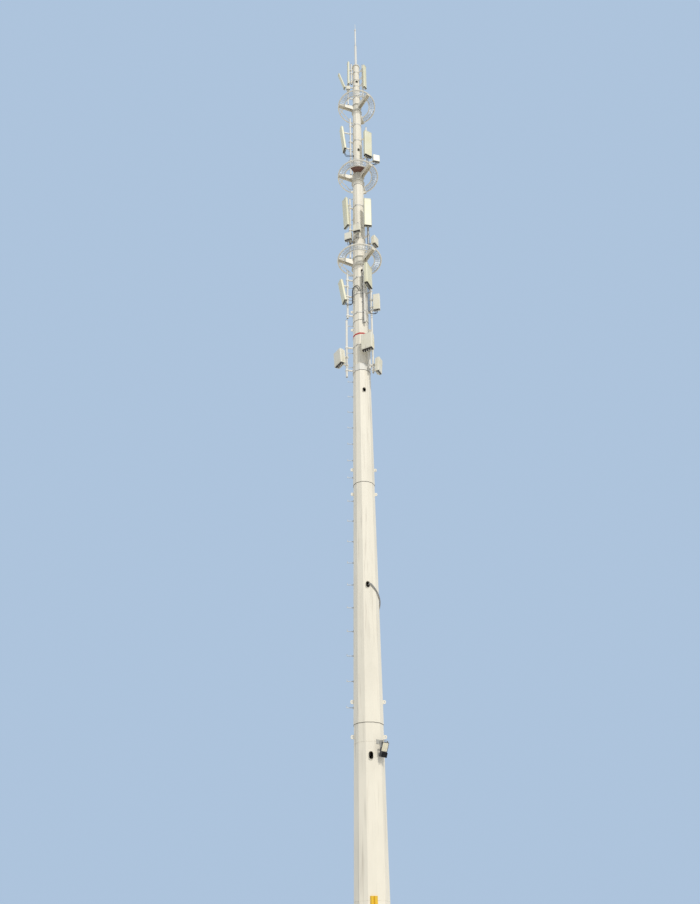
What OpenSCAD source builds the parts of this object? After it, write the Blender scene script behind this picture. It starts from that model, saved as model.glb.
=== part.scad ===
// Monopole telecom tower: a twelve-sided tapered steel pole of five slip-jointed sections, with
// three ring platforms, panel antennas and radio units on mount pipes, and a lightning rod.
// Origin at the centre of the base flange's underside, +Z up, sizes in millimetres.
// Platforms are placed down from the pole top, joints down from the platforms, and each level's
// pipes, bands and units up from their platform. Azimuths are counted anticlockwise from +X.

/* [Pole] */
// Height of the pole top above the underside of the base flange
pole_h = 34900; // [34000:50:36000]
// Width across flats at the foot of the pole
base_width = 820; // [790:5:850]
// Narrowing of that width in each metre of height
taper_per_m = 17.7; // [17:0.1:18.3]
// Wall of the lowest section
base_wall = 12; // [8:1:16]
// Wall of the sections above it
shaft_wall = 8; // [6:1:10]
// Fit between the two sections of a slip joint
slip_gap = 0.3; // [0.2:0.1:0.6]
// Length of a slip joint as a multiple of the width there
lap_ratio = 1.5; // [1.2:0.1:1.7]
// Turn of the facets, anticlockwise from a facet that faces -Y
pole_turn = 3.5; // [0:0.5:6]
// Distance of the uppermost slip joint below the middle platform
joint_4_below = 670; // [620:10:700]
// Distance of the next slip joint below the lowest platform
joint_3_below = 3120; // [3080:10:3160]
// Length of pole between that joint and the next one
section_3_h = 6370; // [6200:10:6500]
// Length of pole between that joint and the lowest one
section_2_h = 6750; // [6600:10:6900]

/* [Base] */
// Thickness of the base flange
flange_t = 40; // [30:1:60]
// How far the base flange reaches out past the pole
flange_lip = 170; // [150:5:220]
// Radius of an anchor bolt hole
anchor_hole_r = 24; // [18:1:28]
// Distance of the bolt circle from the flange's edge
anchor_edge = 65; // [55:5:80]
// Height of the gussets above the flange
gusset_h = 220; // [150:10:300]
// Thickness of a gusset
gusset_t = 16; // [10:1:24]
// Radius of the hole through the middle of the flange
duct_r = 280; // [200:10:320]

/* [Hand holes, lugs and steps] */
// Width of a hand hole
hole_w = 105; // [90:1:110]
// Height of a hand hole
hole_h = 178; // [160:1:190]
// Wall of the sleeve that lines a hand hole
rim_w = 8; // [6:1:12]
// How far that sleeve stands out of the pole
rim_t = 8; // [4:1:14]
// Height of the lowest hand hole above the base flange's underside
low_hole_z = 5370; // [5300:10:5450]
// Reach of a jacking lug from the pole
lug_reach = 80; // [60:5:100]
// Thickness of a jacking lug
lug_t = 30; // [20:1:36]
// Distance of the upper lug above its joint
lug_up = 550; // [500:10:600]
// Distance of the lower lug below its joint
lug_down = 280; // [240:10:320]
// Diameter of a step bolt
step_d = 20; // [16:1:24]
// Reach of a step bolt from the pole
step_reach = 175; // [150:5:200]
// Spacing of one row's step bolts on the second section
step_pitch_low = 650; // [600:10:700]
// Spacing of one row's step bolts above it
step_pitch = 600; // [560:10:640]
// Height of the lowest step bolt above the lowest joint
step_start = 430; // [380:10:500]

/* [Platforms] */
// Radius of the outer ring's centre line
deck_r = 780; // [740:5:820]
// Diameter of the outer ring's tube
ring_d = 48; // [38:1:60]
// Radius of the inner ring
deck_inner_r = 535; // [520:5:560]
// Drop of the top platform below the pole top
deck_1_drop = 3050; // [3030:5:3070]
// Height of the top platform above the middle one
deck_spacing_2 = 4720; // [4690:5:4750]
// Height of the middle platform above the lowest one
deck_spacing_3 = 4760; // [4730:5:4790]
// Height of a platform's hub collar
hub_h = 430; // [380:10:460]
// Thickness of a hub collar
hub_t = 14; // [10:1:20]
// Width of a cantilever arm
arm_w = 150; // [120:5:170]
// Thickness of its plates
arm_plate = 8; // [6:1:12]
// Depth of an arm at the hub
arm_root_h = 250; // [200:5:280]
// Depth of an arm at the outer ring
arm_tip_h = 82; // [70:2:100]
// Diameter of the two tubes that brace the open back of a platform
brace_d = 32; // [26:1:40]
// Spacing of the mesh's radial bars in degrees
mesh_step = 7.5; // [5,7.5,15]

/* [Mounts] */
// Diameter of a mount pipe
pipe_d = 70; // [60:1:76]
// Height of a band round the pole
band_h = 50; // [40:1:60]
// Thickness of a band
band_t = 6; // [5:1:10]
// Width of an arm between band and pipe
strut_w = 40; // [36:1:56]
// Height of the wide clamp collar of the lowest units
collar_h = 260; // [200:10:300]
// Distance of that collar below the third slip joint
collar_below = 2050; // [2000:10:2100]
// Height of the red strap above the collar
strap_up = 1430; // [1400:10:1460]

/* [Antennas and radios] */
// Width of a standard panel antenna
panel_w = 290; // [250:5:310]
// Depth of a standard panel antenna
panel_d = 110; // [90:5:120]
// Height of the panel antennas at the back
panel_h = 1450; // [1400:10:1700]
// Height of an end cap
cap_h = 28; // [20:1:40]
// Corner radius of a radome
radome_r = 38; // [28:1:44]
// Width of a radio unit
radio_w = 270; // [240:5:280]
// Depth of a radio unit
radio_d = 160; // [130:5:170]
// Depth of the cooling fins on a unit's back
fin_d = 40; // [25:1:50]
// Thickness of a cooling fin
fin_t = 6; // [4:1:8]
// Diameter of a cable connector
plug_d = 28; // [22:1:34]
// Length of a cable connector
plug_l = 60; // [40:2:80]
// Diameter of a jumper cable
cable_d = 20; // [14:1:24]

/* [Lightning rod] */
// Height of the rod above the pole top
rod_h = 3780; // [3400:20:4000]
// Diameter of the rod's lower tube
rod_tube_d = 102; // [80:2:110]
// Length of the lower tube
rod_tube_h = 1800; // [1500:20:2000]
// Diameter of the rod's upper tube
rod_mast_d = 68; // [48:1:76]
// Diameter of the ball under the tip
rod_ball_d = 92; // [84:2:120]
// Distance of the ball below the tip
rod_tip_h = 540; // [400:20:600]

/* [Floodlight] */
// Height of the floodlight's pivot below the lowest joint
lamp_drop = 585; // [560:5:610]
// Width of the lamp head
lamp_w = 185; // [150:1:190]
// Height of the lamp's panel
lamp_h = 215; // [180:1:220]
// Depth of the lamp's panel
lamp_d = 50; // [40:1:60]
// Height of the finned block under the panel
lamp_block_h = 120; // [90:2:136]
// Downward tilt of the lamp head
lamp_tilt = 24; // [10:1:30]
// Radius of the lamp's pivot pin
lamp_pin_r = 6; // [5:0.5:8]

/* [Cable guard] */
// Height of the guard's top above the base flange's underside
guard_top = 2530; // [2400:10:2600]
// Diameter of each of its two half round channels
guard_d = 76; // [60:1:84]

/* [Hidden] */
sides = 12;
seat = 0.3;
facet_turn = 360 / sides;
paint = [0.93, 0.91, 0.84];
galvanised = [0.66, 0.68, 0.69];
radome_grey = [0.90, 0.89, 0.82];
black = [0.10, 0.10, 0.11];

// Heights of the platforms' decks and of the slip joints
deck_1 = pole_h - deck_1_drop;
deck_2 = deck_1 - deck_spacing_2;
deck_3 = deck_2 - deck_spacing_3;
deck_z = [deck_1, deck_2, deck_3];
joint_4 = deck_2 - joint_4_below;
joint_3 = deck_3 - joint_3_below;
joint_2 = joint_3 - section_3_h;
joint_1 = joint_2 - section_2_h;
joint_z = [joint_1, joint_2, joint_3, joint_4];
hub_gap = 30;
cap_t = 20;

// Heights of the bands that hold the pipes of each level
bands_1 = [deck_1 + 2500, deck_1 + 1900, deck_1 + 1400, deck_1 + 550];
bands_2 = [deck_2 + 3270, deck_2 + 2170, deck_2 + 870];
bands_3 = [deck_3 + 2830, deck_3 + 1580, deck_3 + 980];
collar_z = joint_3 - collar_below;
bands_4 = [deck_3 - 1070, deck_3 - 1870, deck_3 - 2770, collar_z + 960];
strap_z = collar_z + strap_up;
strap_h = 60;
strap_t = 5;

// Size of the pole: distance of a facet from the axis, by section and by height
function section_r(i, z) = base_width / 2 - taper_per_m * z / 2000 + i * (shaft_wall + slip_gap);
function joints_below(z) = len([for (j = joint_z) if (z > j) j]);
function flat_r(z) = section_r(joints_below(z), z);
function corner(r) = r / cos(180 / sides);
function facet_at(k) = k * facet_turn + pole_turn;
function facet_w(z) = 2 * flat_r(z) * tan(180 / sides);

// A solid of the pole's own shape between two heights, with its facets at r0 and r1
module facets(z0, z1, r0, r1) {
    rotate([0, 0, facet_at(0.5)])
        translate([0, 0, z0])
            cylinder(h = z1 - z0, r1 = corner(r0), r2 = corner(r1), $fn = sides);
}

// The space that the pole takes between two heights, with the clearance of a seat
module pole_space(z0, z1) {
    r = flat_r(z0) + seat;
    facets(z0 - 1, z1 + 1, r + taper_per_m / 2000, r - taper_per_m * (z1 + 1 - z0) / 2000);
}

// A ring of the pole's own shape, thick at t, that fits round the pole between two heights
module pole_ring(z0, z1, t) {
    difference() {
        facets(z0, z1, flat_r(z0) + t, flat_r(z0) + t);
        pole_space(z0, z1);
    }
}

// Puts children at a facet's surface: +X out of the pole, +Z up along the facet
module on_facet(azimuth, z, shift = 0) {
    rotate([0, 0, azimuth])
        translate([flat_r(z), shift, z])
            rotate([0, -atan(taper_per_m / 2000), 0])
                children();
}

// Hand holes: [height, azimuth]
holes = [[deck_1 + 1700, -80], [deck_2 + 1480, -75], [deck_3 - 790, -70], [joint_2 + 3370, -76],
    [joint_1 + 3540, -81], [low_hole_z, -83]];
front_facet = facet_at(9) - 360;

module oval(w, h) {
    translate([0, (h - w) / 2])
        circle(d = w, $fn = 48);
    translate([0, -(h - w) / 2])
        circle(d = w, $fn = 48);
    square([w, h - w], center = true);
}

// Oval bar through the wall at a hand hole, wider than the hole by a margin all round
module hole_bar(hole, margin, low, high) {
    rotate([0, 0, hole[1]])
        translate([flat_r(hole[0]) + low, 0, hole[0]])
            rotate([90, 0, 90])
                linear_extrude(high - low)
                    oval(hole_w + 2 * margin, hole_h + 2 * margin);
}

module pole_section(i) {
    wall = i == 0 ? base_wall : shaft_wall;
    z0 = i == 0 ? flange_t : joint_z[i - 1];
    z1 = i == 4 ? pole_h - cap_t - seat : joint_z[i] + lap_ratio * 2 * section_r(i, joint_z[i]);
    color(paint)
        difference() {
            facets(z0, z1, section_r(i, z0), section_r(i, z1));
            facets(z0 - 10, z1 + 10, section_r(i, z0 - 10) - wall, section_r(i, z1 + 10) - wall);
            for (hole = holes)
                if (hole[0] > z0 - hole_h && hole[0] < z1 + hole_h)
                    hole_bar(hole, rim_w + seat, -hole_w, hole_w);
        }
}

module pole_section_1() {
    pole_section(0);
}

module pole_section_2() {
    pole_section(1);
}

module pole_section_3() {
    pole_section(2);
}

module pole_section_4() {
    pole_section(3);
}

module pole_section_5() {
    pole_section(4);
}

// Base flange with a gusset at each corner of the pole and a bolt hole at each facet
flange_r = base_width / 2 + flange_lip;
anchor_r = flange_r - anchor_edge;

module gusset() {
    foot = corner(base_width / 2) + seat;
    slope = taper_per_m / 2000 / cos(180 / sides);
    rotate([90, 0, 0])
        linear_extrude(gusset_t, center = true)
            polygon([[foot - slope * flange_t, flange_t - 1], [flange_r - 12, flange_t - 1],
                [flange_r - 12, flange_t + 30], [foot + 30, flange_t + gusset_h],
                [foot - slope * (flange_t + gusset_h), flange_t + gusset_h]]);
}

module base_flange() {
    color(paint) {
        difference() {
            cylinder(h = flange_t, r = flange_r, $fn = 96);
            translate([0, 0, -1])
                cylinder(h = flange_t + 2, r = duct_r, $fn = 64);
            for (k = [0 : sides - 1])
                rotate([0, 0, facet_at(k)])
                    translate([anchor_r, 0, -1])
                        cylinder(h = flange_t + 2, r = anchor_hole_r, $fn = 32);
        }
        for (k = [0 : sides - 1])
            rotate([0, 0, facet_at(k + 0.5)])
                gusset();
    }
}

// Sleeves that line the hand holes and stand out of the pole a little
module hand_hole_rims() {
    color(paint)
        for (hole = holes) {
            low = -shaft_wall - hole_w * 0.26;
            high = corner(flat_r(hole[0])) - flat_r(hole[0]) + rim_t;
            difference() {
                hole_bar(hole, rim_w, low, high);
                hole_bar(hole, 0, low - 1, high + 1);
            }
        }
}

// Jacking lugs: an upright eye plate on the left and one on the right, above and below each joint
lug_h = 90;
lug_nose = 62;
lug_eye_r = 14;
lug_facets = [facet_at(6), facet_at(0)];
function lug_shift(z) = 0.14 * facet_w(z);
function in_hub(z, margin) =
    len([for (d = deck_z) if (z < d - hub_gap + margin && z > d - hub_gap - hub_h - margin) d]) > 0;

module jacking_lug(z, side) {
    on_facet(side, z, side > 90 ? lug_shift(z) : -lug_shift(z))
        translate([seat, 0, 0])
            rotate([90, 0, 0])
                linear_extrude(lug_t, center = true)
                    difference() {
                        intersection() {
                            translate([0, -lug_h / 2])
                                square([lug_reach, lug_h]);
                            translate([lug_reach - lug_nose, 0])
                                circle(r = lug_nose, $fn = 64);
                        }
                        translate([lug_reach - lug_h / 2 + 4, 0])
                            circle(r = lug_eye_r, $fn = 32);
                    }
}

module jacking_lugs() {
    color(paint)
        for (j = joint_z, z = [j + lug_up, j - lug_down])
            if (!in_hub(z, lug_h))
                for (side = lug_facets)
                    jacking_lug(z, side);
}

// Step bolts: two staggered rows with upturned ends, left out where a band or hub sits
step_facets = [facet_at(6), facet_at(4)];
step_tip = 45;
step_high_start = 320;
step_head_d = 36;
function step_offset(row, z) = (row == 0 ? -0.15 : 0.15) * flat_r(z);
all_bands = concat(bands_1, bands_2, bands_3, bands_4);
function near_band(z) = len([for (b = all_bands)
    if (abs(b - z) < band_h / 2 + step_head_d) b]) > 0;
function near_joint(z) = len([for (j = joint_z) if (abs(j - z) < step_head_d) j]) > 0;
function near_collar(z) = abs(collar_z - z) < collar_h / 2 + step_head_d
    || abs(strap_z - z) < strap_h / 2 + step_head_d;
function near_eye(z) = len([for (j = joint_z)
    if (abs(j + lug_up - z) < lug_h || abs(j - lug_down - z) < lug_h) j]) > 0;
function step_free(z) = !in_hub(z, step_head_d) && !near_band(z) && !near_joint(z)
    && !near_collar(z) && !near_eye(z);
step_low = [for (z = [joint_1 + step_start : step_pitch_low : joint_2]) z];
step_end = deck_1 - hub_gap - hub_h - step_pitch;
step_high = [for (z = [joint_2 + step_high_start : step_pitch : step_end]) z];

module step_bolt(row, z) {
    on_facet(step_facets[row], z, step_offset(row, z))
        rotate([0, 90, 0]) {
            translate([0, 0, seat])
                cylinder(h = 14, d = step_head_d, $fn = 24);
            translate([0, 0, seat])
                cylinder(h = step_reach, d = step_d, $fn = 24);
            translate([step_d / 2, 0, step_reach - step_d / 2])
                rotate([0, -90, 0])
                    cylinder(h = step_tip + step_d / 2, d = step_d, $fn = 24);
        }
}

module step_bolts() {
    color(galvanised) {
        for (z = step_low)
            if (step_free(z))
                step_bolt(0, z);
        for (z = step_low)
            if (step_free(z + step_pitch_low / 2) && z + step_pitch_low / 2 < joint_2)
                step_bolt(1, z + step_pitch_low / 2);
        for (z = step_high)
            if (step_free(z))
                step_bolt(0, z);
        for (z = step_high)
            if (step_free(z + step_pitch / 2))
                step_bolt(1, z + step_pitch / 2);
    }
}

// Pole cap and lightning rod, bolted flange to flange
cap_r = flat_r(pole_h) + 34;
cap_bolts = 8;
cap_bolt_r = 8;

module bolted_disc(z, t) {
    difference() {
        translate([0, 0, z])
            cylinder(h = t, r = cap_r, $fn = 64);
        for (k = [0 : cap_bolts - 1])
            rotate([0, 0, k * 360 / cap_bolts])
                translate([cap_r - 16, 0, z - 1])
                    cylinder(h = t + 2, r = cap_bolt_r, $fn = 24);
    }
}

module pole_cap() {
    color(paint)
        bolted_disc(pole_h - cap_t, cap_t);
}

module lightning_rod() {
    tip_z = pole_h + rod_h;
    ball_z = tip_z - rod_tip_h;
    color(galvanised) {
        bolted_disc(pole_h, cap_t);
        translate([0, 0, pole_h + cap_t - 1])
            cylinder(h = rod_tube_h, d = rod_tube_d, $fn = 48);
        for (k = [0 : 3])
            rotate([0, 0, k * 90 + 22.5])
                translate([rod_tube_d / 2 - 2, 4, pole_h + cap_t])
                    rotate([90, 0, 0])
                        linear_extrude(8)
                            polygon([[0, 0], [cap_r - rod_tube_d / 2 - 34, 0], [0, 110]]);
        translate([0, 0, pole_h + rod_tube_h])
            cylinder(h = ball_z - pole_h - rod_tube_h, d = rod_mast_d, $fn = 32);
        translate([0, 0, ball_z])
            sphere(d = rod_ball_d, $fn = 48);
        translate([0, 0, ball_z])
            cylinder(h = rod_tip_h - 90, d = 22, $fn = 24);
        translate([0, 0, tip_z - 91])
            cylinder(h = 91, d1 = 22, d2 = 4, $fn = 24);
    }
}

// Platforms. The deck plane is the top of the mesh, and the hub hangs below it
arm_azimuths = [190, 310, 70];
deck_t = 24;
mesh_from = 190;
mesh_to = 430;
hub_flange_t = 14;
hub_flange_w = 46;
bar_w = 8;
bar_d = 20;
bar_inset = 2;
ring_bar = 30;
arm_drop = 22;
chord_from = 104;
chord_to = 180;
stay_from = 158;
stay_to = 183.5;
brace_down = 24;

module hub(z) {
    top = z - hub_gap;
    low = top - hub_h;
    color(paint) {
        pole_ring(low, top, hub_t);
        difference() {
            union() {
                facets(low, low + hub_flange_t, flat_r(low) + hub_flange_w,
                    flat_r(low) + hub_flange_w);
                facets(top - hub_flange_t, top, flat_r(low) + hub_flange_w,
                    flat_r(low) + hub_flange_w);
            }
            facets(low - 1, top + 1, flat_r(low) + hub_t / 2, flat_r(low) + hub_t / 2);
        }
    }
}

// Side view of a cantilever arm, drawn in by its plates' thickness for the hollow under it
module arm_outline(z, inset) {
    root = flat_r(z - hub_gap - hub_h);
    top = z - deck_t - 4 - inset;
    foot = inset > 0 ? hub_h : 0;
    tip = deck_r + 8 - 2 * inset;
    polygon([[root, top - arm_drop - foot - arm_root_h], [root, top - arm_drop],
        [deck_inner_r - ring_bar, top], [tip, top], [tip, top - foot - arm_tip_h]]);
}

// Cantilever arm of bent plate, open below, that butts against the hub's collar
module cantilever_arm(z, azimuth) {
    low = z - hub_gap - hub_h;
    difference() {
        rotate([0, 0, azimuth])
            rotate([90, 0, 0])
                difference() {
                    linear_extrude(arm_w, center = true)
                        arm_outline(z, 0);
                    linear_extrude(arm_w - 2 * arm_plate, center = true)
                        arm_outline(z, arm_plate);
                }
        facets(low, z, flat_r(low) + hub_t + seat, flat_r(low) + hub_t + seat);
    }
}

// Straight tube between two points given by radius and azimuth, at one height
module brace(from, to, z) {
    a = from[0] * [cos(from[1]), sin(from[1])];
    b = to[0] * [cos(to[1]), sin(to[1])];
    translate([a[0], a[1], z])
        rotate([0, 90, atan2(b[1] - a[1], b[0] - a[0])])
            cylinder(h = norm(b - a), d = brace_d, $fn = 24);
}

module ring_tube(r, z, d) {
    translate([0, 0, z])
        rotate_extrude($fn = 96)
            translate([r, 0])
                circle(d = d, $fn = 24);
}

module flat_ring(r, z, w, t) {
    translate([0, 0, z])
        difference() {
            cylinder(h = t, r = r + w / 2, $fn = 96);
            translate([0, 0, -1])
                cylinder(h = t + 2, r = r - w / 2, $fn = 96);
        }
}

module deck_frame(z) {
    color(paint) {
        ring_tube(deck_r, z - deck_t / 2, ring_d);
        intersection() {
            flat_ring(deck_inner_r, z - deck_t - 8, ring_bar, deck_t + 8);
            sector(mesh_from, mesh_to, 2 * deck_r, z - 2 * deck_t, z + 1);
        }
        for (a = arm_azimuths)
            cantilever_arm(z, a);
        brace([deck_r, chord_from], [deck_r, chord_to], z - deck_t / 2 - brace_down);
        brace([deck_r, stay_from], [deck_inner_r, stay_to], z - deck_t / 2 - brace_down);
    }
}

// Wedge of the full circle between two azimuths, for cutting rings to a sector
module sector(from, to, r, z0, z1) {
    n = ceil((to - from) / 45);
    step = (to - from) / n;
    translate([0, 0, z0])
        linear_extrude(z1 - z0)
            polygon(concat([[0, 0]], [for (i = [0 : n])
                r / cos(step / 2) * [cos(from + i * step), sin(from + i * step)]]));
}

module deck_mesh(z) {
    low = deck_inner_r + ring_bar / 2 + seat;
    high = deck_r - ring_d / 2 - seat;
    color(galvanised)
        for (s = [[mesh_from, 310], [310, mesh_to]]) {
            margin = asin((arm_w / 2 + 4) / low);
            from = s[0] + margin;
            to = s[1] - margin;
            n = round((to - from) / mesh_step);
            for (i = [0 : n])
                rotate([0, 0, from + i * (to - from) / n])
                    translate([low + bar_w / 2, -bar_w / 2, z - bar_d + bar_inset])
                        cube([high - low - bar_w, bar_w, bar_d - 2 * bar_inset]);
            for (r = [low + bar_w / 2, (low + high) / 2, high - bar_w / 2])
                intersection() {
                    flat_ring(r, z - bar_d, bar_w, bar_d);
                    sector(from, to, 2 * deck_r, z - bar_d - 1, z + 1);
                }
        }
}

module platform_1_hub() {
    hub(deck_1);
}

module platform_1_frame() {
    deck_frame(deck_1);
}

module platform_1_mesh() {
    deck_mesh(deck_1);
}

module platform_2_hub() {
    hub(deck_2);
}

module platform_2_frame() {
    deck_frame(deck_2);
}

module platform_2_mesh() {
    deck_mesh(deck_2);
}

module platform_3_hub() {
    hub(deck_3);
}

module platform_3_frame() {
    deck_frame(deck_3);
}

module platform_3_mesh() {
    deck_mesh(deck_3);
}

// Closed plate between hub and inner ring on the front of the middle platform
plate_from = 236;
plate_to = 304;

module platform_2_plate() {
    z = deck_2 - deck_t;
    inner = corner(flat_r(z) + 30);
    outer = deck_inner_r - ring_bar / 2 - seat;
    color([0.42, 0.24, 0.20])
        intersection() {
            flat_ring((inner + outer) / 2, z, outer - inner, 6);
            sector(plate_from, plate_to, 2 * deck_r, z - 1, z + 7);
        }
}

// Mount pipes: [azimuth, distance of the pipe's axis from the pole, foot, top]
pipe_1_left = [196, 75, deck_1 + 1650, deck_1 + 3230];
pipe_1_right = [-38, 215, deck_1 + 60, deck_1 + 2850];
pipe_1_outer = [193, 215, deck_1 + 60, deck_1 + 1450];
pipe_2_left = [193, 100, deck_2 + 60, deck_2 + 3790];
pipe_2_right = [-40, 290, deck_2 + 70, deck_2 + 2770];
pipe_2_back = [82, 110, deck_2 + 60, deck_2 + 2870];
pipe_3_left = [188, 112, deck_3 + 80, deck_3 + 3360];
pipe_3_right = [-43, 235, deck_3 + 80, deck_3 + 2980];
pipe_3_front = [-97, 62, deck_3 + 880, deck_3 + 1680];
pipe_3_back = [82, 110, deck_3 + 80, deck_3 + 3030];
pipe_4_left = [190, 195, deck_3 - 2890, deck_3 - 590];
pipe_4_low = [190, 220, collar_z - 280, collar_z + 2180];
pipe_4_front = [-65, 90, deck_3 - 3300, deck_3 - 590];
pipe_4_right = [-39, 215, collar_z - 300, deck_3 - 1770];
pipe_4_back = [82, 120, deck_3 - 2890, deck_3 - 590];
pipe_4_unit = [-50, 140, collar_z - 150, collar_z + 1250];

pipe_wall = 4;
clamp_wall = 8;
clamp_lip = 10;
function pipe_r(p) = flat_r((p[2] + p[3]) / 2) + p[1];
function pipe_xy(p) = pipe_r(p) * [cos(p[0]), sin(p[0])];
function arms_of(p, bands) = [for (b = bands) if (b > p[2] + band_h / 2 && b < p[3] - band_h / 2) b];

module mount_pipe(p) {
    translate([pipe_xy(p)[0], pipe_xy(p)[1], p[2]])
        difference() {
            cylinder(h = p[3] - p[2], d = pipe_d, $fn = 32);
            translate([0, 0, -1])
                cylinder(h = p[3] - p[2] + 2, d = pipe_d - 2 * pipe_wall, $fn = 32);
        }
}

// Arm from a band out to a pipe, ending in a clamp block round the pipe
module pipe_arm(p, z) {
    start = flat_r(z) - strut_w / 2;
    reach = pipe_r(p);
    difference() {
        rotate([0, 0, p[0]])
            difference() {
                union() {
                    translate([start, -strut_w / 2, z - band_h / 2 + 5])
                        cube([reach - start, strut_w, band_h - 10]);
                    translate([reach - pipe_d / 2 - clamp_wall, -pipe_d / 2 - clamp_lip, z - band_h / 2])
                        cube([pipe_d + 2 * clamp_wall, pipe_d + 2 * clamp_lip, band_h]);
                }
                translate([reach, 0, z - band_h])
                    cylinder(h = 2 * band_h, d = pipe_d - pipe_wall, $fn = 32);
            }
        pole_space(z - band_h / 2, z + band_h / 2);
    }
}

ear_facets = [facet_at(8), facet_at(2)];
ear_reach = 38;
module band(z) {
    low = z - band_h / 2;
    pole_ring(low, low + band_h, band_t);
    for (a = ear_facets)
        rotate([0, 0, a])
            translate([flat_r(low) + band_t / 2, -12, low + 8])
                cube([ear_reach, 24, band_h - 16]);
}

// Stations: [pipe, direction from the pipe, facing azimuth, gap between pipe and the unit's
// back, height of the unit's foot, height, width, depth, outward lean of the top]
at_1_left = [pipe_1_left, 196, 192, 60, deck_1 + 1520, 1730, 200, 90, 0];
at_1_right = [pipe_1_right, -38, -38, 30, deck_1 + 950, 1680, 190, 100, 0];
at_1_outer = [pipe_1_outer, 193, 193, 78, deck_1 + 1260, 1000, 160, 80, 15];
at_radio_1 = [pipe_1_outer, 273, 273, 40, deck_1 + 960, 250, 170, 110, 0];
at_2_left = [pipe_2_left, 196, 196, 160, deck_2 + 1530, 1410, panel_w, panel_d, 5.5];
at_2_right = [pipe_2_right, -72, -60, 23, deck_2 + 690, 1500, 340, 150, 1];
at_2_back = [pipe_2_back, 84, 84, 60, deck_2 + 1270, panel_h, panel_w, panel_d, 2];
at_radio_2 = [pipe_2_right, -7, -75, 255, deck_2 + 400, 380, radio_w, 150, 0];
at_3_left = [pipe_3_left, 215, 215, 60, deck_3 + 1670, 1490, panel_w, panel_d, 3];
at_3_right = [pipe_3_right, -92, -80, 34, deck_3 + 1330, 1450, panel_w, 120, 1];
at_3_back = [pipe_3_back, 84, 84, 50, deck_3 + 1430, panel_h, panel_w, panel_d, 2];
at_radio_3_left = [pipe_3_left, 250, 250, 60, deck_3 + 840, 350, radio_w, radio_d, 0];
at_radio_3_front = [pipe_3_front, -105, -105, 16, deck_3 + 1040, 330, radio_w, 180, 0];
at_radio_3_right = [pipe_3_right, -32, -32, 150, deck_3 + 260, 400, radio_w, radio_d, 0];
at_4_left = [pipe_4_left, 200, 200, 16, deck_3 - 2160, 940, panel_w, panel_d, 9.5];
at_4_right = [pipe_4_front, -36, -25, 70, deck_3 - 1700, 940, 440, 140, 0];
at_4_back = [pipe_4_back, 84, 84, 40, deck_3 - 2120, 940, panel_w, panel_d, 3];
at_radio_4 = [pipe_4_right, -16, -102, 78, deck_3 - 2810, 700, 230, 150, 0];
at_unit_left = [pipe_4_low, 215, 215, 120, collar_z + 100, 540, 380, 200, 5];
at_unit_centre = [pipe_4_unit, -104, -116, 50, collar_z + 490, 630, 380, 220, 0];
at_unit_right = [pipe_4_right, -25, -25, 60, collar_z - 350, 530, 260, 150, 4];

function unit_h(s) = s[5];
function unit_w(s) = s[6];
function unit_d(s) = s[7];

// Puts children at a station's foot: +X out of the unit's front, +Z up its back
module at_station(s) {
    out = pipe_d / 2 + s[3] + unit_d(s) / 2;
    translate([pipe_xy(s[0])[0], pipe_xy(s[0])[1], s[4]])
        rotate([0, 0, s[1]])
            translate([out, 0, 0])
                rotate([0, 0, s[2] - s[1]])
                    rotate([0, s[8], 0])
                        children();
}

// Rounded outline of a radome, made of squares and circles
module rounded(w, d, r) {
    square([d, w - 2 * r], center = true);
    square([d - 2 * r, w], center = true);
    for (x = [-1, 1], y = [-1, 1])
        translate([x * (d / 2 - r), y * (w / 2 - r)])
            circle(r = r, $fn = 48);
}

// Bracket bar from a pipe to a unit's back, at a share of the unit's height
bracket_h = 50;
module bracket(s, share) {
    z = s[4] + share * unit_h(s);
    reach = pipe_d / 2 + s[3] + unit_d(s) / 2 + share * unit_h(s) * sin(s[8]);
    difference() {
        translate([pipe_xy(s[0])[0], pipe_xy(s[0])[1], z - bracket_h / 2])
            rotate([0, 0, s[1]]) {
                translate([pipe_d / 2 - pipe_wall, -strut_w / 2, 0])
                    cube([reach - pipe_d / 2 + pipe_wall, strut_w, bracket_h]);
                difference() {
                    translate([-pipe_d / 2 - clamp_wall, -pipe_d / 2 - clamp_lip, 0])
                        cube([pipe_d + 2 * clamp_wall - 2, pipe_d + 2 * clamp_lip, bracket_h]);
                    translate([0, 0, -1])
                        cylinder(h = bracket_h + 2, d = pipe_d - pipe_wall, $fn = 32);
                }
            }
        at_station(s)
            translate([-unit_d(s) / 2 - seat, -unit_w(s) / 2 - seat, -plug_l])
                cube([unit_d(s) + 2 * seat, unit_w(s) + 2 * seat, unit_h(s) + 2 * plug_l]);
    }
}

module armed_pipes(pipes, bands) {
    for (p = pipes) {
        mount_pipe(p);
        for (b = arms_of(p, bands))
            pipe_arm(p, b);
    }
}

module mounts(pipes, bands) {
    for (b = bands)
        band(b);
    armed_pipes(pipes, bands);
}

// The room that a band takes up, for arms that are seated against its outside
module band_space(z) {
    low = z - band_h / 2;
    r = flat_r(low) + band_t + seat;
    facets(low - 1, low + band_h + 1, r, r);
}

module brackets(s, shares) {
    for (share = shares)
        bracket(s, share);
}

module mounts_1() {
    color(galvanised) {
        mounts([pipe_1_left, pipe_1_right, pipe_1_outer], bands_1);
        brackets(at_1_left, [0.15, 0.7]);
        brackets(at_1_right, [0.15, 0.85]);
        brackets(at_1_outer, [0.14]);
        brackets(at_radio_1, [0.5]);
    }
}

module mounts_2() {
    color(galvanised) {
        mounts([pipe_2_left, pipe_2_right, pipe_2_back], bands_2);
        brackets(at_2_left, [0.12, 0.85]);
        brackets(at_2_right, [0.14, 0.86]);
        brackets(at_2_back, [0.14, 0.86]);
        brackets(at_radio_2, [0.2]);
    }
}

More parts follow.
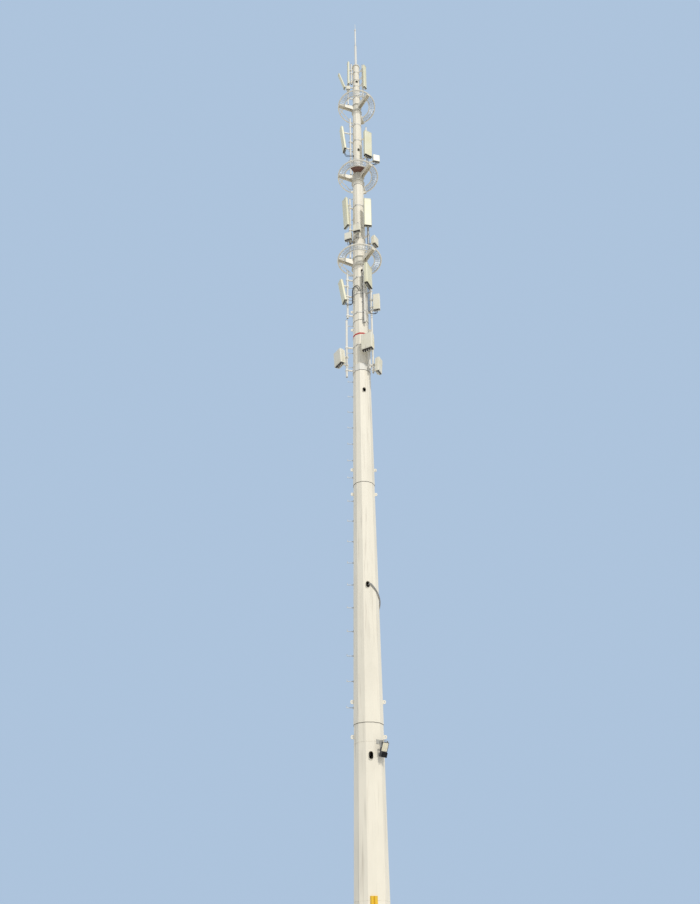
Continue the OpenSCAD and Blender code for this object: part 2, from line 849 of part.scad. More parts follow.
module mounts_3() {
    color(galvanised) {
        difference() {
            armed_pipes([pipe_3_left, pipe_3_right, pipe_3_front, pipe_3_back], bands_3);
            for (b = bands_3)
                band_space(b);
        }
        brackets(at_3_left, [0.14, 0.86]);
        brackets(at_3_right, [0.14, 0.86]);
        brackets(at_3_back, [0.14, 0.86]);
        brackets(at_radio_3_left, [0.5]);
        brackets(at_radio_3_front, [0.5]);
        brackets(at_radio_3_right, [0.5]);
    }
}

module mounts_3_bands() {
    color(galvanised)
        for (b = bands_3)
            band(b);
}

module mounts_4() {
    color(galvanised) {
        mounts([pipe_4_left, pipe_4_low, pipe_4_front, pipe_4_right, pipe_4_back, pipe_4_unit],
            bands_4);
        pole_ring(collar_z - collar_h / 2, collar_z + collar_h / 2, band_t + 4);
        for (p = [pipe_4_low, pipe_4_right, pipe_4_unit])
            pipe_arm(p, collar_z);
        brackets(at_4_left, [0.18, 0.82]);
        brackets(at_4_right, [0.18, 0.82]);
        brackets(at_4_back, [0.18, 0.82]);
        brackets(at_radio_4, [0.25, 0.75]);
        brackets(at_unit_left, [0.2, 0.8]);
        brackets(at_unit_centre, [0.2, 0.8]);
        brackets(at_unit_right, [0.3, 0.7]);
    }
}

cap_lip = 3;

// Panel antenna: radome with end caps and a row of connectors underneath
module panel(s) {
    r = min(radome_r, unit_d(s) / 2 - 4);
    color(radome_grey)
        at_station(s) {
            translate([-cap_lip, 0, cap_h - 1])
                linear_extrude(unit_h(s) - 2 * cap_h + 2)
                    rounded(unit_w(s) - 2 * cap_lip, unit_d(s) - 2 * cap_lip, r - cap_lip);
            for (z = [0, unit_h(s) - cap_h])
                translate([cap_lip / 2, 0, z])
                    linear_extrude(cap_h)
                        rounded(unit_w(s), unit_d(s) - cap_lip, r);
            for (y = [-0.3, -0.1, 0.1, 0.3])
                translate([0, y * unit_w(s), -plug_l + 1])
                    cylinder(h = plug_l, d = plug_d, $fn = 24);
        }
}

// Radio or active unit: a housing with upright cooling fins on its back and side rails
module finned_unit(s) {
    body_d = unit_d(s) - fin_d;
    fins = floor((unit_w(s) - 30) / 26);
    color(radome_grey)
        at_station(s) {
            translate([fin_d / 2, 0, 0])
                linear_extrude(unit_h(s))
                    rounded(unit_w(s), body_d, 16);
            for (i = [0 : fins])
                translate([-unit_d(s) / 2,
                    -unit_w(s) / 2 + 15 + i * (unit_w(s) - 30) / fins - fin_t / 2, 12])
                    cube([fin_d + 4, fin_t, unit_h(s) - 24]);
            translate([-unit_d(s) / 2, -unit_w(s) / 2 + 10, unit_h(s) * 0.2])
                cube([fin_d + 4, unit_w(s) - 20, unit_h(s) * 0.1]);
            translate([-unit_d(s) / 2, -unit_w(s) / 2 + 10, unit_h(s) * 0.45])
                cube([fin_d + 4, unit_w(s) - 20, unit_h(s) * 0.1]);
            translate([-unit_d(s) / 2, -unit_w(s) / 2 + 10, unit_h(s) * 0.7])
                cube([fin_d + 4, unit_w(s) - 20, unit_h(s) * 0.1]);
            for (y = [-0.3, -0.1, 0.1, 0.3])
                translate([fin_d / 2, y * unit_w(s), -plug_l + 1])
                    cylinder(h = plug_l, d = plug_d, $fn = 24);
        }
}

module antenna_1_left() {
    panel(at_1_left);
}

module antenna_1_right() {
    panel(at_1_right);
}

module antenna_1_outer() {
    panel(at_1_outer);
}

module radio_1() {
    finned_unit(at_radio_1);
}

module antenna_2_left() {
    panel(at_2_left);
}

module antenna_2_right() {
    panel(at_2_right);
}

module antenna_2_back() {
    panel(at_2_back);
}

module radio_2() {
    finned_unit(at_radio_2);
}

module antenna_3_left() {
    panel(at_3_left);
}

module antenna_3_right() {
    panel(at_3_right);
}

module antenna_3_back() {
    panel(at_3_back);
}

module radios_3() {
    finned_unit(at_radio_3_left);
    finned_unit(at_radio_3_front);
    finned_unit(at_radio_3_right);
}

module antenna_4_left() {
    panel(at_4_left);
}

module antenna_4_right() {
    panel(at_4_right);
}

module antenna_4_back() {
    panel(at_4_back);
}

module radio_4() {
    finned_unit(at_radio_4);
}

module active_unit_left() {
    finned_unit(at_unit_left);
}

module active_unit_centre() {
    finned_unit(at_unit_centre);
}

module active_unit_right() {
    finned_unit(at_unit_right);
}

// Red strap wrapped round the pole
module red_strap() {
    low = strap_z - strap_h / 2;
    color([0.80, 0.10, 0.08])
        pole_ring(low, low + strap_h, strap_t);
}

// Yellow guard of two half round channels on the front facet
guard_low = flange_t + gusset_h + 60;
guard_shift = 20;

module cable_guard() {
    color([0.93, 0.74, 0.08])
        on_facet(front_facet, guard_low, guard_shift)
            translate([seat, 0, 0])
                difference() {
                    linear_extrude(guard_top - guard_low)
                        union() {
                            translate([0, -guard_d - 6])
                                square([4, 2 * guard_d + 12]);
                            for (y = [-1, 1])
                                intersection() {
                                    translate([0, y * guard_d / 2])
                                        circle(d = guard_d, $fn = 48);
                                    translate([0, y * guard_d / 2 - guard_d / 2])
                                        square([guard_d, guard_d]);
                                }
                        }
                    translate([-1, 0, -1])
                        linear_extrude(guard_top - guard_low - 3)
                            for (y = [-1, 1])
                                intersection() {
                                    translate([1, y * guard_d / 2])
                                        circle(d = guard_d - 8, $fn = 48);
                                    translate([0, y * guard_d / 2 - guard_d / 2])
                                        square([guard_d, guard_d]);
                                }
                }
}

// Floodlight: a bracket on the right front facet, a hanging yoke and the head between its legs
lamp_azimuth = facet_at(10);
lamp_shift = 80;
lamp_face = lamp_azimuth + 3.5;
lamp_out = 174;
yoke_t = 6;
yoke_w = 34;
yoke_gap = 6;
pin_play = 0.05;
lamp_z = joint_1 - lamp_drop;
yoke_top = lamp_h / 2 + 34;
lamp_block_d = 90;

module at_lamp() {
    rotate([0, 0, lamp_azimuth])
        translate([flat_r(lamp_z) + lamp_out, lamp_shift, lamp_z])
            rotate([0, 0, lamp_face - lamp_azimuth])
                children();
}

module floodlight_yoke() {
    leg_y = lamp_w / 2 + yoke_gap;
    bar_z = lamp_z + yoke_top;
    color(black) {
        on_facet(lamp_azimuth, bar_z, 0)
            translate([seat, lamp_shift - 110, -50])
                cube([8, 120, 100]);
        rotate([0, 0, lamp_azimuth])
            translate([flat_r(bar_z) + 4, lamp_shift - 25, bar_z])
                cube([lamp_out + 8, 30, 12]);
        at_lamp() {
            translate([-yoke_w / 2, -leg_y - yoke_t, yoke_top - yoke_t])
                cube([yoke_w, 2 * (leg_y + yoke_t), yoke_t + 1]);
            for (side = [-1, 1])
                difference() {
                    translate([-yoke_w / 2, side > 0 ? leg_y : -leg_y - yoke_t, -yoke_w / 2])
                        cube([yoke_w, yoke_t, yoke_top + yoke_w / 2]);
                    translate([0, side * (leg_y - 1), 0])
                        rotate([-90 * side, 0, 0])
                            cylinder(h = yoke_t + 2, r = lamp_pin_r + pin_play, $fn = 32);
                }
        }
    }
}

module floodlight_head() {
    glass_t = 4;
    color(black)
        at_lamp()
            rotate([0, lamp_tilt, 0]) {
                difference() {
                    translate([-lamp_d / 2, -lamp_w / 2, -lamp_h / 2])
                        cube([lamp_d, lamp_w, lamp_h]);
                    translate([lamp_d / 2 - glass_t, -lamp_w / 2 + 10, -lamp_h / 2 + 10])
                        cube([glass_t + 1, lamp_w - 20, lamp_h - 20]);
                }
                translate([-lamp_d / 2, -lamp_w / 2 + 8, -lamp_h / 2 - lamp_block_h])
                    cube([lamp_d, lamp_w - 16, lamp_block_h + 1]);
                for (i = [0 : 7])
                    translate([-lamp_d / 2, -lamp_w / 2 + 8 + i * (lamp_w - 20) / 7,
                        -lamp_h / 2 - lamp_block_h])
                        cube([lamp_block_d, 4, lamp_block_h - 8]);
                for (side = [-1, 1])
                    translate([0, side * (lamp_w / 2 - 1), 0])
                        rotate([-90 * side, 0, 0]) {
                            cylinder(h = yoke_gap - 0.5, r = 13, $fn = 32);
                            cylinder(h = yoke_gap + yoke_t + 6, r = lamp_pin_r, $fn = 32);
                        }
            }
}

// Jumper cables: tubes swept along bends, from connector to connector or into the pole
cable_sides = 8;

// Foot of a connector under a station's unit: its place across the unit's width is a share
function turned(v, a) = [v[0] * cos(a) - v[1] * sin(a), v[0] * sin(a) + v[1] * cos(a), v[2]];
function leaned(v, a) = [v[0] * cos(a) + v[2] * sin(a), v[1], v[2] * cos(a) - v[0] * sin(a)];
function plug_foot(s, share, depth) =
    [pipe_xy(s[0])[0], pipe_xy(s[0])[1], s[4] - cable_d / 2 * sin(s[8])]
    + turned([pipe_d / 2 + s[3] + unit_d(s) / 2, 0, 0], s[1])
    + turned(leaned([depth, share * unit_w(s), -plug_l + 1 - seat], s[8]), s[2]);

// Tube through a list of points: one ring of corners at each point, carried on without twist
function unit3(v) = v / norm(v);
function path_dir(pts, i) = unit3(pts[min(i + 1, len(pts) - 1)] - pts[max(i - 1, 0)]);
function side_of(d) = unit3(cross(d, abs(d[2]) > 0.9 ? [1, 0, 0] : [0, 0, 1]));
function sides_along(pts, i) = i == 0 ? [side_of(path_dir(pts, 0))]
    : let (done = sides_along(pts, i - 1), u = done[i - 1], d = path_dir(pts, i))
        concat(done, [unit3(u - (u * d) * d)]);

module tube_along(pts, d) {
    n = cable_sides;
    sides_u = sides_along(pts, len(pts) - 1);
    rings = [for (i = [0 : len(pts) - 1])
        let (u = sides_u[i], v = cross(path_dir(pts, i), u))
            for (k = [0 : n - 1])
                pts[i] + d / 2 * (u * cos(k * 360 / n) + v * sin(k * 360 / n))];
    walls = [for (i = [0 : len(pts) - 2], k = [0 : n - 1])
        [i * n + k, (i + 1) * n + k, (i + 1) * n + (k + 1) % n, i * n + (k + 1) % n]];
    ends = [[for (k = [0 : n - 1]) k],
        [for (k = [n - 1 : -1 : 0]) (len(pts) - 1) * n + k]];
    polyhedron(points = rings, faces = concat(walls, ends));
}

// Cable that leaves one connector downwards and comes up into another from below
cable_lead = 20;
function bend(a, b, c, d, t) = (1 - t) ^ 3 * a + 3 * (1 - t) ^ 2 * t * b
    + 3 * (1 - t) * t ^ 2 * c + t ^ 3 * d;
function bends(a, b, c, d, n) = [for (i = [0 : n]) bend(a, b, c, d, i / n)];
function level(p, z) = [p[0], p[1], z];
function hang(a, b, z, sag) = bends(level(a, z), level(a, z - sag), level(b, z - sag), level(b, z), 12);

module jumper(start, end, sag) {
    run = hang(start, end, min(start[2], end[2]) - cable_lead, sag);
    tube_along(concat([start], run, [end]), cable_d);
}

// Point off the pole's surface at an azimuth and a height
function facet_near(a) = facet_at(round((a - pole_turn) / facet_turn));
function off_pole(a, z, out) =
    concat((flat_r(z) / cos(a - facet_near(a)) + out) * [cos(a), sin(a)], [z]);

// Rubber boot on the pole's surface, where a cable goes in
boot_l = 26;
module boot(a, z, d, length) {
    rotate([0, 0, facet_near(a)])
        translate([flat_r(z) + seat, flat_r(z) * tan(a - facet_near(a)), z])
            rotate([0, 90, 0])
                cylinder(h = length, d1 = d + 16, d2 = d + 6, $fn = 24);
}

// Cable that leaves a connector downwards and goes into the pole through a boot
module lead_in(start, a, z, sag) {
    low = start[2] - cable_lead;
    run = bends(level(start, low), level(start, low - sag), off_pole(a, z - sag / 4, sag / 2),
        off_pole(a, z, boot_l), 12);
    boot(a, z, cable_d, boot_l);
    tube_along(concat([start], run, [off_pole(a, z, boot_l / 2)]), cable_d);
}

// Cable that hangs below a connector, climbs beside the pole and arches over into its front
arch_z = deck_3 - 1770;
arch_out = 50;
module arched_lead(start, side, a, rise) {
    low = start[2] - cable_lead;
    foot = off_pole(side, low, arch_out);
    head = off_pole(side, arch_z + arch_out, arch_out);
    run = bends(head, head + [0, 0, rise], off_pole(a - 6, arch_z + rise, 2 * arch_out),
        off_pole(a, arch_z, boot_l), 12);
    boot(a, arch_z, cable_d, boot_l);
    tube_along(concat([start], hang(start, foot, low, 120), run, [off_pole(a, arch_z, boot_l / 2)]),
        cable_d);
}

module jumper_cables() {
    color(black) {
        for (y = [-0.1, 0.1]) {
            sag = 150 - 300 * y;
            jumper(plug_foot(at_2_right, y, 0), plug_foot(at_radio_2, -y, fin_d / 2), sag);
            jumper(plug_foot(at_3_right, y, 0), plug_foot(at_radio_3_right, y, fin_d / 2), sag);
            jumper(plug_foot(at_4_right, y, 0), plug_foot(at_radio_4, -y, fin_d / 2), sag);
            lead_in(plug_foot(at_2_left, y, 0), 220, deck_2 + 1150 + 400 * y, 440);
            lead_in(plug_foot(at_radio_3_left, y, fin_d / 2), 220, deck_3 + 780 + 300 * y, 2 * sag);
        }
        arched_lead(plug_foot(at_4_left, 0.1, 0), 206, 270, 330);
        arched_lead(plug_foot(at_4_left, 0.3, 0), 214, 257, 250);
    }
}

// Conduit down from the third hand hole, held off the pole by saddles to clear the bands
conduit_d = 26;
conduit_azimuth = 286;
conduit_bend = 20;
module saddle(a, z, d, out) {
    rotate([0, 0, facet_near(a)])
        translate([flat_r(z) + seat, flat_r(z) * tan(a - facet_near(a)) - d / 2 - 8, z])
            cube([out + d / 2 + 4, d + 16, 30]);
}

module front_conduit() {
    a = conduit_azimuth;
    z = holes[2][0] - hole_h / 3;
    out = (band_t + 3 * seat + conduit_d / 2) / cos(a - facet_near(a));
    clear = out + conduit_bend;
    foot = joint_3 - 130;
    loose = out + shaft_wall + slip_gap;
    turn = [0 : 22.5 : 90];
    path = concat([off_pole(a, z, -30)],
        [for (t = turn)
            off_pole(a, z - conduit_bend * (1 - cos(t)), clear - conduit_bend * (1 - sin(t)))],
        [off_pole(a, z - 50, clear), off_pole(a, z - 75, (clear + out) / 2), off_pole(a, z - 100, out),
            off_pole(a, joint_3 + 20, out)],
        [for (t = turn)
            off_pole(a, foot - conduit_bend * sin(t), loose - conduit_bend * (1 - cos(t)))],
        [off_pole(a, foot - conduit_bend, 4)]);
    tube_along(path, conduit_d);
    boot(a, foot - conduit_bend, conduit_d, boot_l);
    for (z = [joint_3 + 60, deck_3 - 2300, deck_3 - 1500])
        saddle(a, z, conduit_d, out);
}

// Conduit out of the fifth hand hole and down round the right side to the back
side_conduit_d = 36;
side_conduit_turn = 96;
side_conduit_fall = 560;
module side_conduit() {
    z = holes[4][0];
    a = holes[4][1];
    from = a + 19;
    arc = [for (t = [0 : 0.1 : 1])
        let (high = z - 20 - side_conduit_fall * t)
            concat((corner(flat_r(high)) + side_conduit_d / 2 + 2 * seat)
                * [cos(from + side_conduit_turn * t), sin(from + side_conduit_turn * t)], [high])];
    mouth = off_pole(a + 5, z, 0);
    along = unit3([-sin(from), cos(from), -0.9]);
    path = concat([off_pole(a + 5, z, -30)],
        bends(mouth, mouth + 80 * [cos(a), sin(a), 0], arc[0] - 80 * along, arc[0], 8),
        [for (i = [1 : len(arc) - 1]) arc[i]]);
    tube_along(path, side_conduit_d);
    boot(from + side_conduit_turn, z - 20 - side_conduit_fall, side_conduit_d, side_conduit_d + 8);
}

module cable_conduit() {
    color([0.35, 0.35, 0.36]) {
        front_conduit();
        side_conduit();
    }
}

base_flange();
pole_section_1();
pole_section_2();
pole_section_3();
pole_section_4();
pole_section_5();
hand_hole_rims();
jacking_lugs();
step_bolts();
pole_cap();
lightning_rod();
platform_1_hub();
platform_1_frame();
platform_1_mesh();
platform_2_hub();
platform_2_frame();
platform_2_mesh();
platform_2_plate();
platform_3_hub();
platform_3_frame();
platform_3_mesh();
mounts_1();
antenna_1_left();
antenna_1_right();
antenna_1_outer();
radio_1();
mounts_2();
antenna_2_left();
antenna_2_right();
antenna_2_back();
radio_2();
mounts_3();
mounts_3_bands();
antenna_3_left();
antenna_3_right();
antenna_3_back();
radios_3();
mounts_4();
antenna_4_left();
antenna_4_right();
antenna_4_back();
radio_4();
active_unit_left();
active_unit_centre();
active_unit_right();
red_strap();
jumper_cables();
cable_conduit();
cable_guard();
floodlight_yoke();
floodlight_head();
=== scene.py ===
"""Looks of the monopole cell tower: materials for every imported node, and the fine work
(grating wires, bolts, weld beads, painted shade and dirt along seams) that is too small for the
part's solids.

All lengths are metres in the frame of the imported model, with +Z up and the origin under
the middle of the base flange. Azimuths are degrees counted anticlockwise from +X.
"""

import math
from collections import namedtuple

import bmesh
import bpy
from mathutils import Matrix, Vector


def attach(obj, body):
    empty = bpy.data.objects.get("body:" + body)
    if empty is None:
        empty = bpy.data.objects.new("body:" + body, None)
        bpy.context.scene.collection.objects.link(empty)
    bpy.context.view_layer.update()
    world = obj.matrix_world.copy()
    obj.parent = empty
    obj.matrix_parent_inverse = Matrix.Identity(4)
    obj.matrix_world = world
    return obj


BODY = "tower"
LAMP_BODY = "lamp_head"

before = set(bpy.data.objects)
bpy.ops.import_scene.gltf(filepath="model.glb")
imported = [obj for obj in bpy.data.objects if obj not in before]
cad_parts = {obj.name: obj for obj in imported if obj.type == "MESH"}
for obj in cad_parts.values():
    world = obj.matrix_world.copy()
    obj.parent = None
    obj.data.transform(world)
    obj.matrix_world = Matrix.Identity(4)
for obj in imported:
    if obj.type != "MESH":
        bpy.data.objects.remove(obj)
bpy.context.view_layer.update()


# ---------------------------------------------------------------- node materials

def shader(name, color, roughness, metallic=0.0):
    """A new material with plain values on its shader, and the pieces needed to add nodes."""
    material = bpy.data.materials.new(name)
    material.use_nodes = True
    nodes = material.node_tree.nodes
    bsdf = nodes["Principled BSDF"]
    bsdf.inputs["Base Color"].default_value = (*color, 1)
    bsdf.inputs["Roughness"].default_value = roughness
    bsdf.inputs["Metallic"].default_value = metallic
    material.diffuse_color = (*color, 1)
    return material, nodes, material.node_tree.links, bsdf


def noise(nodes, links, scale, stretch=(1, 1, 1), detail=4.0):
    """Noise over the object's own coordinates, stretched along an axis where asked."""
    place = nodes.new("ShaderNodeTexCoord")
    mapping = nodes.new("ShaderNodeMapping")
    mapping.inputs["Scale"].default_value = stretch
    texture = nodes.new("ShaderNodeTexNoise")
    texture.inputs["Scale"].default_value = scale
    texture.inputs["Detail"].default_value = detail
    links.new(place.outputs["Object"], mapping.inputs["Vector"])
    links.new(mapping.outputs["Vector"], texture.inputs["Vector"])
    return texture.outputs["Fac"]


def ramp(nodes, links, value, low, high, top=1.0):
    """Zero below low, top above high, and a slope between them."""
    node = nodes.new("ShaderNodeMapRange")
    node.inputs["From Min"].default_value = low
    node.inputs["From Max"].default_value = high
    node.inputs["To Max"].default_value = top
    links.new(value, node.inputs["Value"])
    return node.outputs["Result"]


def blend_in(nodes, links, below, color, amount):
    """Lays a colour over what is below it, by an amount that varies over the surface."""
    mix = nodes.new("ShaderNodeMix")
    mix.data_type = "RGBA"
    links.new(amount, mix.inputs["Factor"])
    if isinstance(below, tuple):
        mix.inputs["A"].default_value = (*below, 1)
    else:
        links.new(below, mix.inputs["A"])
    mix.inputs["B"].default_value = (*color, 1)
    return mix.outputs["Result"]


def bump(nodes, links, bsdf, height, depth, strength=0.5):
    """Bump from a height, with its depth in metres."""
    node = nodes.new("ShaderNodeBump")
    node.inputs["Strength"].default_value = strength
    node.inputs["Distance"].default_value = depth
    links.new(height, node.inputs["Height"])
    links.new(node.outputs["Normal"], bsdf.inputs["Normal"])


def painted_steel(name, color, dirt, streaks, roughness):
    """Paint with cloudy fading, rain streaks that run down it, specks and orange peel."""
    material, nodes, links, bsdf = shader(name, color, roughness)
    clouds = noise(nodes, links, 1.3, (1, 1, 0.5))
    runs = noise(nodes, links, 16, (1, 1, 0.05), 3)
    specks = noise(nodes, links, 70, detail=2)
    faded = tuple(0.90 * c for c in color)
    surface = blend_in(nodes, links, color, faded, ramp(nodes, links, clouds, 0.45, 0.75))
    surface = blend_in(nodes, links, surface, dirt, ramp(nodes, links, runs, 0.56, 0.82, streaks))
    surface = blend_in(nodes, links, surface, dirt,
                       ramp(nodes, links, specks, 0.70, 0.80, 0.5 * streaks))
    links.new(surface, bsdf.inputs["Base Color"])
    node = nodes.new("ShaderNodeMapRange")
    node.inputs["To Min"].default_value = roughness - 0.07
    node.inputs["To Max"].default_value = roughness + 0.12
    links.new(clouds, node.inputs["Value"])
    links.new(node.outputs["Result"], bsdf.inputs["Roughness"])
    bump(nodes, links, bsdf, noise(nodes, links, 260, detail=2), 0.0006)
    return material


def zinc(name, color, roughness):
    """Hot-dip galvanised steel with its spangle and dull patches."""
    material, nodes, links, bsdf = shader(name, color, roughness, metallic=0.55)
    place = nodes.new("ShaderNodeTexCoord")
    cells = nodes.new("ShaderNodeTexVoronoi")
    cells.inputs["Scale"].default_value = 90
    links.new(place.outputs["Object"], cells.inputs["Vector"])
    dull = tuple(0.72 * c for c in color)
    bright = tuple(min(1.0, 1.12 * c) for c in color)
    patches = ramp(nodes, links, noise(nodes, links, 6), 0.42, 0.68)
    spangle = ramp(nodes, links, cells.outputs["Distance"], 0.2, 0.6, 0.5)
    surface = blend_in(nodes, links, color, dull, patches)
    surface = blend_in(nodes, links, surface, bright, spangle)
    links.new(surface, bsdf.inputs["Base Color"])
    bump(nodes, links, bsdf, cells.outputs["Distance"], 0.0004, 0.3)
    return material


def moulded(name, color, dirt, roughness, darkening):
    """Moulded plastic or glass fibre: fine texture, slight yellowing and grime that ran down."""
    material, nodes, links, bsdf = shader(name, color, roughness)
    aged = (color[0] * 0.95, color[1] * 0.92, color[2] * 0.82)
    yellowing = ramp(nodes, links, noise(nodes, links, 2.2), 0.40, 0.70, 0.8)
    surface = blend_in(nodes, links, color, aged, yellowing)
    runs = noise(nodes, links, 24, (1, 1, 0.06), 3)
    surface = blend_in(nodes, links, surface, dirt, ramp(nodes, links, runs, 0.58, 0.80, darkening))
    links.new(surface, bsdf.inputs["Base Color"])
    bump(nodes, links, bsdf, noise(nodes, links, 500, detail=2), 0.0003)
    return material


def rubber(name, color, roughness):
    """Cable jacket or rubber, greyed by dust."""
    material, nodes, links, bsdf = shader(name, color, roughness)
    dust = tuple(c + 0.05 for c in color)
    dusty = ramp(nodes, links, noise(nodes, links, 18), 0.45, 0.75, 0.8)
    links.new(blend_in(nodes, links, color, dust, dusty), bsdf.inputs["Base Color"])
    bump(nodes, links, bsdf, noise(nodes, links, 400, detail=2), 0.0003)
    return material


def webbing(name, color):
    """Woven strap: fine ribs across it and faded patches."""
    material, nodes, links, bsdf = shader(name, color, 0.8)
    place = nodes.new("ShaderNodeTexCoord")
    waves = nodes.new("ShaderNodeTexWave")
    waves.bands_direction = "Z"
    waves.inputs["Scale"].default_value = 90
    waves.inputs["Distortion"].default_value = 1.5
    links.new(place.outputs["Object"], waves.inputs["Vector"])
    faded = tuple(0.55 * c + 0.12 for c in color)
    worn = ramp(nodes, links, noise(nodes, links, 12), 0.42, 0.7, 0.6)
    links.new(blend_in(nodes, links, color, faded, worn), bsdf.inputs["Base Color"])
    bump(nodes, links, bsdf, waves.outputs["Fac"], 0.001, 0.6)
    return material


DIRT = (0.30, 0.25, 0.19)
CREAM = (0.84, 0.785, 0.665)
paint = painted_steel("pole_paint", CREAM, DIRT, 0.42, 0.48)
# Hubs and their welds: a darker copy of the pole's cream that paints the shade under the decks,
# with heavy brown dirt streaks.
hub_shade_and_dirt_paint = painted_steel("hub_shade_and_dirt_paint", (0.66, 0.63, 0.54), (0.22, 0.14, 0.10), 0.85, 0.55)
pipe_paint = painted_steel("pipe_paint", (0.77, 0.745, 0.68), DIRT, 0.50, 0.50)
# The plate on platform 2: very dark red-brown, with darker streaks.
dark_brown_paint = painted_steel("dark_brown_paint", (0.17, 0.085, 0.060), (0.060, 0.035, 0.025), 0.9, 0.75)
yellow_paint = painted_steel("yellow_paint", (0.80, 0.50, 0.03), (0.24, 0.16, 0.05), 0.5, 0.45)
steel = zinc("galvanised_steel", (0.56, 0.57, 0.57), 0.55)
radome = moulded("radome_glass_fibre", (0.755, 0.73, 0.545), (0.35, 0.31, 0.24), 0.45, 0.35)
housing = moulded("unit_housing", (0.80, 0.765, 0.645), (0.32, 0.28, 0.21), 0.42, 0.45)
jacket = rubber("cable_jacket", (0.020, 0.020, 0.022), 0.55)
conduit_grey = rubber("conduit_grey", (0.30, 0.295, 0.285), 0.55)
lamp_black = rubber("lamp_housing", (0.030, 0.030, 0.033), 0.38)
lamp_bracket = rubber("lamp_bracket", (0.45, 0.44, 0.40), 0.55)
strap_red = webbing("strap_webbing", (0.55, 0.035, 0.025))

FINISH = {
    "pole_section": paint, "base_flange": paint, "pole_cap": paint, "hand_hole_rims": paint,
    "jacking_lugs": paint, "step_bolts": steel, "lightning_rod": pipe_paint,
    "mounts": pipe_paint, "antenna": radome, "radio": housing, "active_unit": housing,
    "red_strap": strap_red, "jumper_cables": jacket, "cable_conduit": conduit_grey,
    "cable_guard": yellow_paint, "floodlight_yoke": lamp_bracket, "floodlight_head": lamp_black,
}


def finish_of(node):
    """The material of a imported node, by its name."""
    if node == "platform_2_plate":
        return dark_brown_paint
    if node.endswith("_hub"):
        return hub_shade_and_dirt_paint
    if node.endswith("_frame"):
        return paint
    if node.endswith("_mesh"):
        return steel
    return next(m for start, m in FINISH.items() if node.startswith(start))


for node_name, cad_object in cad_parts.items():
    cad_object.data.materials.clear()
    cad_object.data.materials.append(finish_of(node_name))


# ---------------------------------------------------------------- mesh helpers

def add_piece(name, mesh_builder, material, body=BODY, smooth=False):
    """Makes one object from a bmesh, with its material, and sets the body that it rides on."""
    mesh = bpy.data.meshes.new(name)
    mesh_builder.to_mesh(mesh)
    mesh_builder.free()
    mesh.materials.append(material)
    for polygon in mesh.polygons:
        polygon.use_smooth = smooth
    piece = bpy.data.objects.new(name, mesh)
    bpy.context.scene.collection.objects.link(piece)
    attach(piece, body)


def polar(radius, azimuth, z):
    """Point at a distance from the pole's axis, an azimuth and a height."""
    angle = math.radians(azimuth)
    return Vector((radius * math.cos(angle), radius * math.sin(angle), z))


def spin(azimuth):
    """Rotation about the pole's axis that takes +X to an azimuth."""
    return Matrix.Rotation(math.radians(azimuth), 4, "Z")


def loft(bm, rings, closed_ends=True, closed_path=False):
    """Skin over rings of points with the same count."""
    made = [[bm.verts.new(p) for p in ring] for ring in rings]
    pairs = list(zip(made, made[1:]))
    if closed_path:
        pairs.append((made[-1], made[0]))
    for one, two in pairs:
        for k in range(len(one)):
            n = (k + 1) % len(one)
            bm.faces.new((one[k], one[n], two[n], two[k]))
    if closed_ends and not closed_path:
        bm.faces.new(list(reversed(made[0])))
        bm.faces.new(made[-1])


# Chamfer of a bar's edges, as a share of its thickness
BAR_CHAMFER = 0.2


def bar(bm, start, end, width, height):
    """Straight level bar with a slightly chamfered rectangular section."""
    along = (end - start).normalized()
    side = along.cross(Vector((0, 0, 1))).normalized()
    top = side.cross(along)
    w, h, c = width / 2, height / 2, min(width, height) * BAR_CHAMFER
    outline = [(w, h - c), (w - c, h), (-w + c, h), (-w, h - c),
               (-w, -h + c), (-w + c, -h), (w - c, -h), (w, -h + c)]
    loft(bm, [[p + x * side + y * top for x, y in outline] for p in (start, end)])


# ---------------------------------------------------------------- where the tower's parts sit

DECKS = (31.85, 27.13, 22.37)
JOINTS = (6.13, 12.88, 19.25, 26.46)
COLLAR = JOINTS[2] - 2.05
POLE_TOP = 34.90
POLE_SIDES = 12
FACET = 30.0
POLE_TURN = 3.5
# Half the width across flats at the foot, what it loses a metre, and what it gains at a joint
FOOT_R = 0.410
TAPER = 0.00885
JOINT_STEP = 0.0083
# Mount pipes, and the hubs of the platforms: their foot below the deck, and their wall
PIPE_R = 0.035
HUB_FOOT = 0.46
HUB_WALL = 0.014
ARM_AZIMUTHS = (190, 310, 70)

BANDS = tuple(DECKS[0] + z for z in (2.50, 1.90, 1.40, 0.55)) \
    + tuple(DECKS[1] + z for z in (3.27, 2.17, 0.87)) \
    + tuple(DECKS[2] + z for z in (2.83, 1.58, 0.98)) \
    + tuple(DECKS[2] - z for z in (1.07, 1.87, 2.77)) + (COLLAR + 0.96,)

